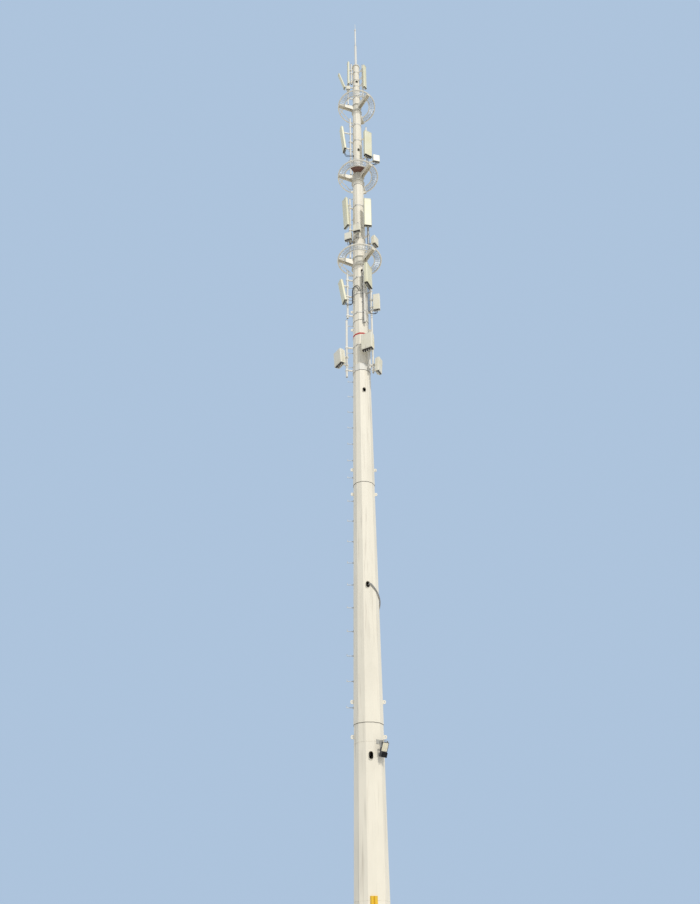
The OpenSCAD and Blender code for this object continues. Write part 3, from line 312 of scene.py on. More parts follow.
# Mount pipes: azimuth, distance of the axis from the pole, foot and top
Pipe = namedtuple("Pipe", "azimuth out foot top")
PIPES = {name: Pipe(*values) for name, values in {
    "1_left": (196, 0.075, DECKS[0] + 1.65, DECKS[0] + 3.23),
    "1_right": (-38, 0.215, DECKS[0] + 0.06, DECKS[0] + 2.85),
    "1_outer": (193, 0.215, DECKS[0] + 0.06, DECKS[0] + 1.45),
    "2_left": (193, 0.100, DECKS[1] + 0.06, DECKS[1] + 3.79),
    "2_right": (-40, 0.290, DECKS[1] + 0.07, DECKS[1] + 2.77),
    "2_back": (82, 0.110, DECKS[1] + 0.06, DECKS[1] + 2.87),
    "3_left": (188, 0.112, DECKS[2] + 0.08, DECKS[2] + 3.36),
    "3_right": (-43, 0.235, DECKS[2] + 0.08, DECKS[2] + 2.98),
    "3_front": (-97, 0.062, DECKS[2] + 0.88, DECKS[2] + 1.68),
    "3_back": (82, 0.110, DECKS[2] + 0.08, DECKS[2] + 3.03),
    "4_left": (190, 0.195, DECKS[2] - 2.89, DECKS[2] - 0.59),
    "4_low": (190, 0.220, COLLAR - 0.28, COLLAR + 2.18),
    "4_front": (-65, 0.090, DECKS[2] - 3.30, DECKS[2] - 0.59),
    "4_right": (-39, 0.215, COLLAR - 0.30, DECKS[2] - 1.77),
    "4_back": (82, 0.120, DECKS[2] - 2.89, DECKS[2] - 0.59),
    "4_unit": (-50, 0.140, COLLAR - 0.15, COLLAR + 1.25),
}.items()}
# The pipe whose end stays free for one more bracket, and those that the collar holds
BARE_TOP = "2_left"
ON_COLLAR = ("4_low", "4_right", "4_unit")

# Panels and finned units: pipe, direction from it, facing, gap, foot, height, width, depth,
# lean in degrees, and the shares of the height at which brackets hold it
Unit = namedtuple("Unit", "pipe direction facing gap foot height width depth lean shares")
PANELS = [Unit(*values) for values in (
    ("1_left", 196, 192, 0.060, DECKS[0] + 1.52, 1.73, 0.200, 0.090, 0, (0.15, 0.70)),
    ("1_right", -38, -38, 0.030, DECKS[0] + 0.95, 1.68, 0.190, 0.100, 0, (0.15, 0.85)),
    ("1_outer", 193, 193, 0.078, DECKS[0] + 1.26, 1.00, 0.160, 0.080, 15, (0.14,)),
    ("2_left", 196, 196, 0.160, DECKS[1] + 1.53, 1.41, 0.290, 0.110, 5.5, (0.12, 0.85)),
    ("2_right", -72, -60, 0.023, DECKS[1] + 0.69, 1.50, 0.340, 0.150, 1, (0.14, 0.86)),
    ("2_back", 84, 84, 0.060, DECKS[1] + 1.27, 1.45, 0.290, 0.110, 2, (0.14, 0.86)),
    ("3_left", 215, 215, 0.060, DECKS[2] + 1.67, 1.49, 0.290, 0.110, 3, (0.14, 0.86)),
    ("3_right", -92, -80, 0.034, DECKS[2] + 1.33, 1.45, 0.290, 0.120, 1, (0.14, 0.86)),
    ("3_back", 84, 84, 0.050, DECKS[2] + 1.43, 1.45, 0.290, 0.110, 2, (0.14, 0.86)),
    ("4_left", 200, 200, 0.016, DECKS[2] - 2.16, 0.94, 0.290, 0.110, 9.5, (0.18, 0.82)),
    ("4_front", -36, -25, 0.070, DECKS[2] - 1.70, 0.94, 0.440, 0.140, 0, (0.18, 0.82)),
    ("4_back", 84, 84, 0.040, DECKS[2] - 2.12, 0.94, 0.290, 0.110, 3, (0.18, 0.82)),
)]
UNITS = [Unit(*values) for values in (
    ("1_outer", 273, 273, 0.040, DECKS[0] + 0.96, 0.25, 0.170, 0.110, 0, (0.5,)),
    ("2_right", -7, -75, 0.255, DECKS[1] + 0.40, 0.38, 0.270, 0.150, 0, (0.2,)),
    ("3_left", 250, 250, 0.060, DECKS[2] + 0.84, 0.35, 0.270, 0.160, 0, (0.5,)),
    ("3_front", -105, -105, 0.016, DECKS[2] + 1.04, 0.33, 0.270, 0.180, 0, (0.5,)),
    ("3_right", -32, -32, 0.150, DECKS[2] + 0.26, 0.40, 0.270, 0.160, 0, (0.5,)),
    ("4_right", -16, -102, 0.078, DECKS[2] - 2.81, 0.70, 0.230, 0.150, 0, (0.25, 0.75)),
    ("4_low", 215, 215, 0.120, COLLAR + 0.10, 0.54, 0.380, 0.200, 5, (0.2, 0.8)),
    ("4_unit", -104, -116, 0.050, COLLAR + 0.49, 0.63, 0.380, 0.220, 0, (0.2, 0.8)),
    ("4_right", -25, -25, 0.060, COLLAR - 0.35, 0.53, 0.260, 0.150, 4, (0.3, 0.7)),
)]
# Depth of the fins on a unit's back
FIN_DEPTH = 0.040
# Connectors under a panel or unit: their places as shares of its width, and their length
PLUG_SHARES = (-0.3, -0.1, 0.1, 0.3)
PLUG_LENGTH = 0.059


def flat_r(z):
    """Distance of a facet from the pole's axis."""
    return FOOT_R - TAPER * z + JOINT_STEP * sum(z > joint for joint in JOINTS)


def facet_at(k):
    """Azimuth of the middle of a facet."""
    return k * FACET + POLE_TURN


def pipe_axis(name, z):
    """Point on the axis of a mount pipe, at a height."""
    pipe = PIPES[name]
    return polar(flat_r((pipe.foot + pipe.top) / 2) + pipe.out, pipe.azimuth, z)


def station(unit):
    """Matrix of a unit's frame: origin at its foot, +X out of its front, +Z up its back."""
    return (Matrix.Translation(pipe_axis(unit.pipe, unit.foot))
            @ spin(unit.direction)
            @ Matrix.Translation((PIPE_R + unit.gap + unit.depth / 2, 0, 0))
            @ spin(unit.facing - unit.direction)
            @ Matrix.Rotation(math.radians(unit.lean), 4, "Y"))


def on_facet(azimuth, z, shift):
    """Matrix of a frame on the pole's surface: +X out of the facet, +Z up along it."""
    return (spin(azimuth)
            @ Matrix.Translation((flat_r(z), shift, z))
            @ Matrix.Rotation(-math.atan(TAPER), 4, "Y"))


def upright(direction, point):
    """Matrix with its origin at a point and +X towards an azimuth."""
    return Matrix.Translation(point) @ spin(direction)


# ---------------------------------------------------------------- small parts

def turned(bm, place, profile, count, size=1.0):
    """Body of rings round the frame's +Z: (radius, height) of each ring, times a size."""
    loft(bm, [[place @ Vector((size * r * math.cos(k * math.tau / count),
                               size * r * math.sin(k * math.tau / count), size * z))
               for k in range(count)] for r, z in profile])


def along_axis(axis):
    """Rotation that takes +Z to an axis of the frame."""
    return Vector(axis).to_track_quat("Z", "Y").to_matrix().to_4x4()


# Profiles of fasteners, as shares of the size that each one is made at
HEAD_WASHER = ((1.30, 0.0), (1.30, 0.14), (1.22, 0.20))
HEAD = ((1.0, 0.20), (1.0, 0.86), (0.84, 0.98))
NUT_WASHER = ((1.30, 0.0), (1.30, 0.16))
NUT = ((0.90, 0.16), (1.0, 0.24), (1.0, 0.96), (0.88, 1.04))
THREAD_END = ((0.56, 1.0), (0.56, 1.55), (0.46, 1.66))
SOCKET_HEAD = ((1.0, 0.0), (1.0, 0.35), (0.80, 0.52), (0.48, 0.55), (0.42, 0.30))


def bolt_head(bm, place, at, axis, size):
    """Washer and hexagon head with a turned-off crown."""
    spot = place @ Matrix.Translation(at) @ along_axis(axis)
    turned(bm, spot, HEAD_WASHER, 16, size)
    turned(bm, spot, HEAD, 6, size)


def bolt_nut(bm, place, at, axis, size):
    """Washer, nut and the end of the thread that stands out of it."""
    spot = place @ Matrix.Translation(at) @ along_axis(axis)
    turned(bm, spot, NUT_WASHER, 16, size)
    turned(bm, spot, NUT, 6, size)
    turned(bm, spot, THREAD_END, 12, size)


def screw(bm, place, at, axis, size):
    """Low round head with a socket sunk into it."""
    spot = place @ Matrix.Translation(at) @ along_axis(axis)
    turned(bm, spot, SOCKET_HEAD, 12, size)


def block(bm, place, low, high, chamfer):
    """Box between two corners, with its upright edges and both ends chamfered."""
    (x0, y0, z0), (x1, y1, z1) = low, high
    c = chamfer

    def outline(inset):
        a, b, d, e = x0 + inset, y0 + inset, x1 - inset, y1 - inset
        return ((a + c, b), (d - c, b), (d, b + c), (d, e - c),
                (d - c, e), (a + c, e), (a, e - c), (a, b + c))

    loft(bm, [[place @ Vector((x, y, z)) for x, y in outline(inset)]
              for inset, z in ((c / 2, z0), (0, z0 + c / 2), (0, z1 - c / 2), (c / 2, z1))])


def sweep(bm, points, radius, count=8, closed=False, squash=1.0, radii=None):
    """Round or flattened rod along a path, carried on without twist."""
    total = len(points)

    def heading(i):
        if closed:
            return (points[(i + 1) % total] - points[i - 1]).normalized()
        return (points[min(i + 1, total - 1)] - points[max(i - 1, 0)]).normalized()

    side = heading(0).orthogonal().normalized()
    if abs(heading(0).z) < 0.9:
        side = heading(0).cross(Vector((0, 0, 1))).normalized()
    rings = []
    for i in range(total):
        along = heading(i)
        side = (side - side.dot(along) * along).normalized()
        other = along.cross(side)
        r = radii[i] if radii else radius
        rings.append([points[i] + r * (math.cos(k * math.tau / count) * side
                                       + squash * math.sin(k * math.tau / count) * other)
                      for k in range(count)])
    loft(bm, rings, closed_path=closed)


def wobble(i, depth, seed=0):
    """Small uneven amount for a hand-made weld, the same at every run."""
    return depth * (math.sin(i * 1.7 + seed) + 0.6 * math.sin(i * 4.3 + 2 * seed)
                    + 0.4 * math.sin(i * 9.1))


def bead(bm, points, radius, seed=0, closed=False):
    """Weld bead along a path, thicker and thinner by turns."""
    radii = [radius + wobble(i, 0.10 * radius, seed) for i in range(len(points))]
    sweep(bm, points, radius, 6, closed, radii=radii)


def round_pole(radius, lift, shares, z, uneven=0.0):
    """Points all round the twelve facets, at shares of a facet's turn from its middle."""
    points = []
    for k in range(POLE_SIDES):
        for share in shares:
            angle = share * FACET
            points.append(polar(radius / math.cos(math.radians(angle)) + lift, facet_at(k) + angle,
                                z + wobble(len(points), uneven)))
    return points


def islands(node):
    """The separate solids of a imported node, each as its list of points."""
    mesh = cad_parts[node].data
    group = list(range(len(mesh.vertices)))

    def root(i):
        while group[i] != i:
            group[i] = group[group[i]]
            i = group[i]
        return i

    seen = {}
    for vertex in mesh.vertices:
        key = tuple(round(c, 5) for c in vertex.co)
        if key in seen:
            group[root(vertex.index)] = root(seen[key])
        seen[key] = vertex.index
    for edge in mesh.edges:
        a, b = root(edge.vertices[0]), root(edge.vertices[1])
        group[a] = b
    sets = {}
    for vertex in mesh.vertices:
        sets.setdefault(root(vertex.index), []).append(vertex.co.copy())
    return list(sets.values())


# ---------------------------------------------------------------- fine work on the platforms

# Inner and outer edge of a platform's mesh, the sectors that it covers and its radial bars
MESH_LOW, MESH_HIGH = 0.550, 0.756
MESH_SECTORS = ((198.25, 301.75), (318.25, 421.75))
MESH_STEPS = 14
# Wires of the grating, along and across the gaps between those bars
WIRES_PER_GAP = 3
WIRE_W, WIRE_H = 0.0032, 0.0045
WIRE_DROP = 0.004
RING_WIRES = 6
RING_WIRE_FIRST, RING_WIRE_PITCH = 0.029, 0.0248
RING_WIRE_HALF_W, RING_WIRE_HALF_H = 0.0016, 0.002
# Clips on a sector, the circle of the tube that they hook round, and their own bend
CLIPS = 8
TUBE_MIDDLE, CLIP_BEND = 0.780, 0.0255
# Bolts of a hub: size, thickness of its flanges, upper flange below the deck, and how far
# from an arm's middle a nut still has room
HUB_BOLT = 0.0095
HUB_FLANGE = 0.014
HUB_TOP = 0.03
ARM_CLEARANCE = 0.090


def grating(deck):
    """Thin wires between the mesh's bars: three along each gap and six rings across them."""
    bm = bmesh.new()
    z = deck - 0.0055
    section = [(dr * RING_WIRE_HALF_W, dz * RING_WIRE_HALF_H)
               for dr, dz in ((1, 1), (-1, 1), (-1, -1), (1, -1))]
    for start, end in MESH_SECTORS:
        step = (end - start) / MESH_STEPS
        for gap in range(MESH_STEPS):
            for part in range(1, WIRES_PER_GAP + 1):
                azimuth = start + (gap + part / (WIRES_PER_GAP + 1)) * step
                bar(bm, polar(MESH_LOW + 0.002, azimuth, z - WIRE_DROP),
                    polar(MESH_HIGH - 0.002, azimuth, z - WIRE_DROP), WIRE_W, WIRE_H)
        segments = 3 * MESH_STEPS
        azimuths = [start + i * (end - start) / segments for i in range(segments + 1)]
        for ring in range(RING_WIRES):
            radius = MESH_LOW + RING_WIRE_FIRST + ring * RING_WIRE_PITCH
            loft(bm, [[polar(radius, azimuth, z) + Vector((0, 0, dz)) + polar(dr, azimuth, 0)
                       for dr, dz in section] for azimuth in azimuths])
    return bm


def ring_clips(deck):
    """Hooked clips that hold the mesh down on the outer tube and on the inner ring."""
    bm = bmesh.new()
    for start, end in MESH_SECTORS:
        for i in range(CLIPS):
            place = spin(start + (i + 0.5) * (end - start) / CLIPS)
            hook = [(0.728, deck + 0.0015), (0.742, deck + 0.0015), (0.752, deck + 0.002)]
            for angle in range(140, 20, -15):
                turn = math.radians(angle)
                hook.append((TUBE_MIDDLE + CLIP_BEND * math.cos(turn),
                             deck - 0.012 + CLIP_BEND * math.sin(turn)))
            sweep(bm, [place @ Vector((x, 0, z)) for x, z in hook], 0.012, 8, squash=0.13)
            block(bm, place, (0.522, -0.013, deck - 0.001), (0.566, 0.013, deck + 0.0025), 0.001)
            bolt_head(bm, place, (0.737, 0, deck + 0.0025), (0, 0, 1), 0.0065)
            bolt_head(bm, place, (0.556, 0, deck + 0.002), (0, 0, 1), 0.0065)
    return bm


def beside_arm(azimuth, radius):
    """Distance from a spot on the hub to the middle of the nearest arm."""
    turns = [math.radians(azimuth - arm) for arm in ARM_AZIMUTHS]
    return min(abs(math.sin(turn)) * radius if math.cos(turn) > 0 else 1.0 for turn in turns)


def hub_bolts(deck):
    """Bolts through the hub's two flanges, two on each facet, with no nut inside an arm."""
    bm = bmesh.new()
    low, high = deck - HUB_FOOT, deck - HUB_TOP
    radius = flat_r(low) + 0.031
    for k in range(POLE_SIDES):
        place = spin(facet_at(k))
        for shift in (-0.030, 0.030):
            bolt_head(bm, place, (radius, shift, low), (0, 0, -1), HUB_BOLT)
            bolt_nut(bm, place, (radius, shift, low + HUB_FLANGE), (0, 0, 1), HUB_BOLT)
            bolt_head(bm, place, (radius, shift, high), (0, 0, 1), HUB_BOLT)
            if beside_arm(facet_at(k) + math.degrees(shift / radius), radius) > ARM_CLEARANCE:
                bolt_nut(bm, place, (radius, shift, high - HUB_FLANGE), (0, 0, -1), HUB_BOLT)
    return bm


def platform_welds(deck):
    """Beads where the arms meet the hub and the ring's tube, and at the hub's flanges."""
    bm = bmesh.new()
    low = deck - HUB_FOOT
    face = flat_r(low) + HUB_WALL
    for azimuth in ARM_AZIMUTHS:
        place = spin(azimuth)
        tilt = (azimuth - POLE_TURN + FACET / 2) % FACET - FACET / 2
        turns = [math.radians(tilt + t) for t in (-60, -30, 0, 30, 60)]
        for side in (-1, 1):
            y = side * 0.0765
            x = min((face + y * math.sin(t)) / math.cos(t) for t in turns) + 0.002
            upwards = [place @ Vector((x, y, deck - 0.298 + i * 0.0155)) for i in range(17)]
            bead(bm, upwards, 0.0045, azimuth + side)
        across = [-0.072 + i * 0.012 for i in range(13)]
        along_tube = [(math.sqrt(0.7610 ** 2 - y * y), y, deck - 0.0265) for y in across]
        bead(bm, [place @ Vector(p) for p in along_tube], 0.0040, azimuth)
    for z, lift in ((low + HUB_FLANGE, 0.003), (deck - 0.044, -0.003)):
        bead(bm, round_pole(face, 0.002, (-0.5, -0.25, 0.0, 0.25), z + lift), 0.004, z, True)
    return bm


# ---------------------------------------------------------------- fine work on pole and mounts

def step_nuts():
    """Hexagon nut and washer at the root of every step bolt."""
    bm = bmesh.new()
    for points in islands("step_bolts"):
        middle = sum(points, Vector()) / len(points)
        azimuth = math.degrees(math.atan2(middle.y, middle.x)) % 360
        facet = min((facet_at(6), facet_at(4)), key=lambda a: abs(a - azimuth))
        facing = spin(-facet)
        local = [facing @ p for p in points]
        foot = min(p.x for p in local)
        root = [p for p in local if p.x < foot + 0.0015]
        centre = sum(root, Vector()) / len(root)
        spot = on_facet(facet, centre.z, centre.y) @ along_axis((1, 0, 0))
        turned(bm, spot, ((0.027, 0.0), (0.027, 0.003)), 20)
        turned(bm, spot, ((0.0195, 0.003), (0.0215, 0.0045), (0.0215, 0.015), (0.0195, 0.0165)), 6)
        turned(bm, spot, ((0.0125, 0.0165), (0.0125, 0.022), (0.0115, 0.023)), 12)
    return bm


# The facets that the bands' ears stand on, and half the height of a band
EAR_FACETS = (8, 2)
BAND_HALF_H = 0.025


def band_bolts():
    """Two bolts through each pair of ears of every band."""
    bm = bmesh.new()
    for z in BANDS:
        for k in EAR_FACETS:
            place = spin(facet_at(k))
            x = flat_r(z - BAND_HALF_H) + 0.024
            for dz in (-0.008, 0.008):
                bolt_head(bm, place, (x, 0.012, z + dz), (0, 1, 0), 0.0068)
                bolt_nut(bm, place, (x, -0.012, z + dz), (0, -1, 0), 0.0068)
    return bm


def ear_slit_shadows():
    """Near-black block that paints the shadow in the slit between the two ears that each bolt pulls
    together.
    """
    bm = bmesh.new()
    for z in BANDS:
        for k in EAR_FACETS:
            x = flat_r(z - BAND_HALF_H) + 0.0095
            block(bm, spin(facet_at(k)), (x, -0.0022, z - 0.0175), (x + 0.032, 0.0022, z + 0.0175),
                  0.0004)
    return bm


def clamp_bolts():
    """Bolts of the blocks that clamp the pipes, on the arms and on the brackets."""
    bm = bmesh.new()

    def pair(place, outer, inner):
        """Two bolts, one on each side of the pipe, with their heads outside."""
        for y in (-0.0375, 0.0375):
            bolt_head(bm, place, (outer, y, 0), (1 if outer > 0 else -1, 0, 0), 0.0085)
            bolt_nut(bm, place, (inner, y, 0), (1 if inner > 0 else -1, 0, 0), 0.0085)

    for name, pipe in PIPES.items():
        heights = [z for z in BANDS if near_level(name, z)
                   and pipe.foot + BAND_HALF_H < z < pipe.top - BAND_HALF_H]
        if name in ON_COLLAR:
            heights.append(COLLAR)
        for z in heights:
            pair(upright(pipe.azimuth, pipe_axis(name, z)), 0.043, -0.043)
    for unit in PANELS + UNITS:
        for share in unit.shares:
            z = unit.foot + share * unit.height
            pair(upright(unit.direction, pipe_axis(unit.pipe, z)), -0.043, 0.041)
    return bm


def near_level(name, z):
    """True where a band belongs to the pipe's own level."""
    level = int(name[0])
    limits = (POLE_TOP, *DECKS, 0.0)
    return limits[level] < z < limits[level - 1]


def pipe_caps():
    """Moulded caps on the upper ends of the mount pipes, all but the one that stays bare."""
    bm = bmesh.new()
    profile = ((0.0362, -0.016), (0.0366, 0.001), (0.0345, 0.0045), (0.026, 0.0065),
               (0.010, 0.0075))
    for name, pipe in PIPES.items():
        if name != BARE_TOP:
            turned(bm, Matrix.Translation(pipe_axis(name, pipe.top)), profile, 28)
    return bm


def cap_bolts():
    """Bolts that hold the lightning rod's flange on the pole's cap."""
    bm = bmesh.new()
    circle, thickness, size = 0.1523, 0.02, 0.0125
    for k in range(8):
        place = spin(k * 45)
        bolt_head(bm, place, (circle, 0, POLE_TOP + thickness), (0, 0, 1), size)
        bolt_nut(bm, place, (circle, 0, POLE_TOP - thickness), (0, 0, -1), size)
    return bm


def rod_fittings():
    """Weld at the rod's foot, the cone between its two tubes and the collar under the ball."""
    bm = bmesh.new()
    place = Matrix.Identity(4)
    turned(bm, place, ((0.0520, 36.690), (0.0545, 36.695), (0.0545, 36.715), (0.0505, 36.724),
                       (0.0355, 36.742), (0.0345, 36.756)), 40)
    turned(bm, place, ((0.0350, 38.010), (0.0385, 38.016), (0.0385, 38.050), (0.0350, 38.058)), 32)
    turned(bm, place, ((0.0140, 38.182), (0.0190, 38.186), (0.0190, 38.206), (0.0120, 38.214)), 20)
    bead(bm, [polar(0.053, i * 7.5, 34.9225) for i in range(48)], 0.0045, 1, True)
    return bm


def pole_welds():
    """Two ground-down welds round the lowest section, seen under its paint."""
    bm = bmesh.new()
    shares = [t / 8 for t in range(-4, 4)]
    for z in (2.45, 5.69):
        bead(bm, round_pole(flat_r(z), 0.0005, shares, z, 0.0012), 0.0048, z, True)
    return bm


def seam_shade_and_dirt():
    """Dark beads that paint the shade below the slip joints, under the bands and round the collar,
    along with the dirt that rain leaves there.
    """
    bm = bmesh.new()
    seams = [(z - 0.005, 0.0065) for z in JOINTS] + [(z - 0.0285, 0.0040) for z in BANDS]
    seams += [(COLLAR - 0.1350, 0.0060), (COLLAR + 0.1350, 0.0060)]
    shares = [t / 4 for t in range(-2, 2)]
    for z, radius in seams:
        bead(bm, round_pole(flat_r(z), 0.0015, shares, z, 0.0010), radius, z, True)
    return bm


def guard_screws():
    """Screws down both edges of the yellow guard."""
    bm = bmesh.new()
    for z in (0.42, 0.84, 1.26, 1.68, 2.10, 2.48):
        place = on_facet(facet_at(9) - 360, z, 0.020)
        for y in (-0.079, 0.079):
            screw(bm, place, (0.0043, y, 0), (1, 0, 0), 0.0038)
    return bm


def gusset_welds():
    """Beads at the feet of the base flange's gussets, and round the pole's foot."""
    bm = bmesh.new()
    for k in range(POLE_SIDES):
        place = spin(facet_at(k + 0.5))
        for y in (-0.0095, 0.0095):
            side = math.copysign(1, y)
            outwards = [(0.432 + i * 0.0118, y, 0.0415) for i in range(12)]
            upwards = [(0.4275 - TAPER * 0.02 * i, y, 0.05 + i * 0.0165) for i in range(12)]
            bead(bm, [place @ Vector(p) for p in outwards], 0.0048, k + side)
            bead(bm, [place @ Vector(p) for p in upwards], 0.0045, k - side)
    shares = (-0.42, -0.2, 0.0, 0.2, 0.42)
    bead(bm, round_pole(flat_r(0.04), 0.002, shares, 0.043), 0.006, 3, True)
    return bm


# ---------------------------------------------------------------- fine work on panels and units

def panel_screws(unit):
    """Screws through the end caps of a panel, on its narrow sides and on its back."""
    bm = bmesh.new()
    place = station(unit)
    for z in (0.014, unit.height - 0.014):
        for side in (-1, 1):
            screw(bm, place, (0.0015, side * unit.width / 2, z), (0, side, 0), 0.0042)
        for y in (-0.3, 0.3):
            screw(bm, place, (-unit.depth / 2 + 0.003, y * unit.width, z), (-1, 0, 0), 0.0042)
    return bm


def panel_rails(unit):
    """Rails and tilt plates on the back of a panel where its brackets hold it."""
    bm = bmesh.new()
    place = station(unit)
    back = -unit.depth / 2
    for share in unit.shares:
        z = share * unit.height
        block(bm, place, (back - 0.006, -0.32 * unit.width, z - 0.034),
              (back + 0.004, 0.32 * unit.width, z + 0.034), 0.002)
        for y in (-0.26, 0.26):
            bolt_head(bm, place, (back - 0.006, y * unit.width, z), (-1, 0, 0), 0.0075)
    return bm


def undersides(unit, inset):
    """Near-black plate round the connectors under a panel or unit, which paints the shade under it.
    """
    bm = bmesh.new()
    back, side = -unit.depth / 2 + inset, unit.width / 2 - 0.010
    block(bm, station(unit), (back + 0.010, -side, -0.0018), (unit.depth / 2 - 0.008, side, 0.002),
          0.003)
    return bm


def plug_nuts(unit, inset):
    """Knurled coupling nut and hexagon of each connector."""
    bm = bmesh.new()
    place = station(unit)
    knurls, groove = 36, 0.0007
    for share in PLUG_SHARES:
        at = place @ Matrix.Translation((inset, share * unit.width, -PLUG_LENGTH))
        rings = []
        for r, z in ((0.0150, 0.006), (0.0162, 0.008), (0.0162, 0.026), (0.0150, 0.028)):
            radii = [r - groove * (k % 2) for k in range(knurls)]
            rings.append([at @ Vector((radius * math.cos(k * math.tau / knurls),
                                       radius * math.sin(k * math.tau / knurls), z))
                          for k, radius in enumerate(radii)])
        loft(bm, rings)
        turned(bm, at, ((0.0160, 0.042), (0.0172, 0.0435), (0.0172, 0.051), (0.0160, 0.0525)), 6)
    return bm


def unit_cover(unit):
    """Raised field on the front cover of a radio or active unit."""
    bm = bmesh.new()
    front, side = unit.depth / 2, unit.width / 2 - 0.020
    block(bm, station(unit), (front - 0.002, -side, 0.022),
          (front + 0.0035, side, unit.height - 0.022), 0.003)
    return bm


def unit_screws(unit):
    """Screws down both edges of a unit's front cover."""
    bm = bmesh.new()
    place = station(unit)
    for y in (-1, 1):
        for z in (0.011, unit.height / 2, unit.height - 0.011):
            screw(bm, place, (unit.depth / 2 - 0.0002, y * (unit.width / 2 - 0.0105), z), (1, 0, 0),
                  0.0036)
    return bm


def unit_handles(unit):
    """Bent handle on top of a unit."""
    bm = bmesh.new()
    place = station(unit)
    reach = min(0.050, 0.2 * unit.width)
    foot, top = unit.height - 0.002, unit.height + 0.026
    half = [(-reach, foot), (-reach, top - 0.010), (-reach + 0.003, top - 0.004),
            (-reach + 0.010, top)]
    path = half + [(-y, z) for y, z in reversed(half)]
    sweep(bm, [place @ Vector((FIN_DEPTH / 2, y, z)) for y, z in path], 0.0045, 10)
    return bm


def side_fins(unit):
    """Short ribs down both sides of a unit's housing."""
    bm = bmesh.new()
    place = station(unit)
    count = max(2, int((unit.depth - FIN_DEPTH - 0.05) / 0.022))
    for side in (-1, 1):
        for i in range(count):
            x = -unit.depth / 2 + FIN_DEPTH + 0.022 + i * 0.020
            low, high = sorted((side * (unit.width / 2 - 0.002), side * (unit.width / 2 + 0.006)))
            block(bm, place, (x, low, 0.03), (x + 0.004, high, unit.height - 0.03), 0.0008)
    return bm


# ---------------------------------------------------------------- floodlight

# The lamp at rest: middle of its pivots, azimuth, downward tilt, and the size of its head
LAMP_PIVOT = Vector((0.361957, -0.401913, 5.545))
LAMP_FACE = 307.0
LAMP_TILT = 24.0
LAMP_W, LAMP_H, LAMP_D = 0.185, 0.215, 0.050


def lamp_place():
    """Matrix of the lamp's head: origin between its pivots, +X out of its front."""
    return upright(LAMP_FACE, LAMP_PIVOT) @ Matrix.Rotation(math.radians(LAMP_TILT), 4, "Y")


def lamp_board():
    """Pale reflector board in the recess of the lamp's frame."""
    bm = bmesh.new()
    w, h = LAMP_W / 2 - 0.0104, LAMP_H / 2 - 0.0104
    block(bm, lamp_place(), (LAMP_D / 2 - 0.0038, -w, -h), (LAMP_D / 2 - 0.0022, w, h), 0.0004)
    return bm


def lamp_lenses():
    """Rows of small lenses, one over each light chip."""
    bm = bmesh.new()
    place = lamp_place()
    profile = ((0.0078, 0.0), (0.0074, 0.0008), (0.0055, 0.0016), (0.0025, 0.0020))
    for row in range(8):
        for column in range(6):
            at = (LAMP_D / 2 - 0.0022, (column - 2.5) * 0.0245, (row - 3.5) * 0.0225)
            turned(bm, place @ Matrix.Translation(at) @ along_axis((1, 0, 0)), profile, 14)
    return bm


def lamp_fixings():
    """Corner screws, the nuts on the pivots and the cable gland on the lamp's back."""
    bm = bmesh.new()
    place = lamp_place()
    for y in (-1, 1):
        for z in (-1, 0, 1):
            screw(bm, place, (LAMP_D / 2, y * (LAMP_W / 2 - 0.005), z * (LAMP_H / 2 - 0.006)),
                  (1, 0, 0), 0.0030)
        bolt_nut(bm, place, (0, y * 0.1058, 0), (0, y, 0), 0.0095)
    turned(bm, place @ Matrix.Translation((-LAMP_D / 2, 0, -0.07)) @ along_axis((-1, 0, 0)),
           ((0.011, 0.0), (0.011, 0.010), (0.009, 0.012), (0.0075, 0.024)), 6)
    return bm


def lamp_bracket_bolts():
    """Bolts of the floodlight's bracket plate on the pole and of the yoke under its arm."""
    bm = bmesh.new()
    azimuth = facet_at(10)
    height = LAMP_PIVOT.z + LAMP_H / 2 + 0.034
    place = on_facet(azimuth, height, 0.080)
    for y in (-0.098, -0.004):
        for z in (-0.036, 0.036):
            bolt_head(bm, place, (0.0083, y, z), (1, 0, 0), 0.0085)
    bolt_nut(bm, upright(LAMP_FACE, LAMP_PIVOT), (-0.004, -0.010, LAMP_H / 2 + 0.046),
             (0, 0, 1), 0.0090)
    return bm


# ---------------------------------------------------------------- putting the fine work in place

fine_zinc = zinc("bolt_zinc", (0.50, 0.50, 0.49), 0.55)
# Near-black plates under the panels and units paint the shade beneath them.
underside_shade = rubber("unit_underside", (0.032, 0.024, 0.020), 0.60)
# Near-black blocks in the bands' ear slits paint the shadow there.
slit = rubber("slit_shadow", (0.015, 0.014, 0.013), 0.80)
# Near-black brown beads along the seams: painted shade under the edges, with dirt.
darkening = rubber("seam_shade_and_dirt", (0.085, 0.070, 0.055), 0.85)
cap_plastic = rubber("pipe_cap_plastic", (0.20, 0.20, 0.20), 0.55)
board = moulded("lamp_board", (0.80, 0.75, 0.60), (0.40, 0.36, 0.28), 0.35, 0.15)
lens = moulded("lamp_lens", (0.88, 0.83, 0.62), (0.50, 0.45, 0.30), 0.12, 0.05)

for level, deck in enumerate(DECKS, 1):
    add_piece(f"platform_{level}_grating", grating(deck), steel)
    add_piece(f"platform_{level}_clips", ring_clips(deck), fine_zinc)
    add_piece(f"platform_{level}_hub_bolts", hub_bolts(deck), fine_zinc)
    add_piece(f"platform_{level}_welds", platform_welds(deck), hub_shade_and_dirt_paint, smooth=True)

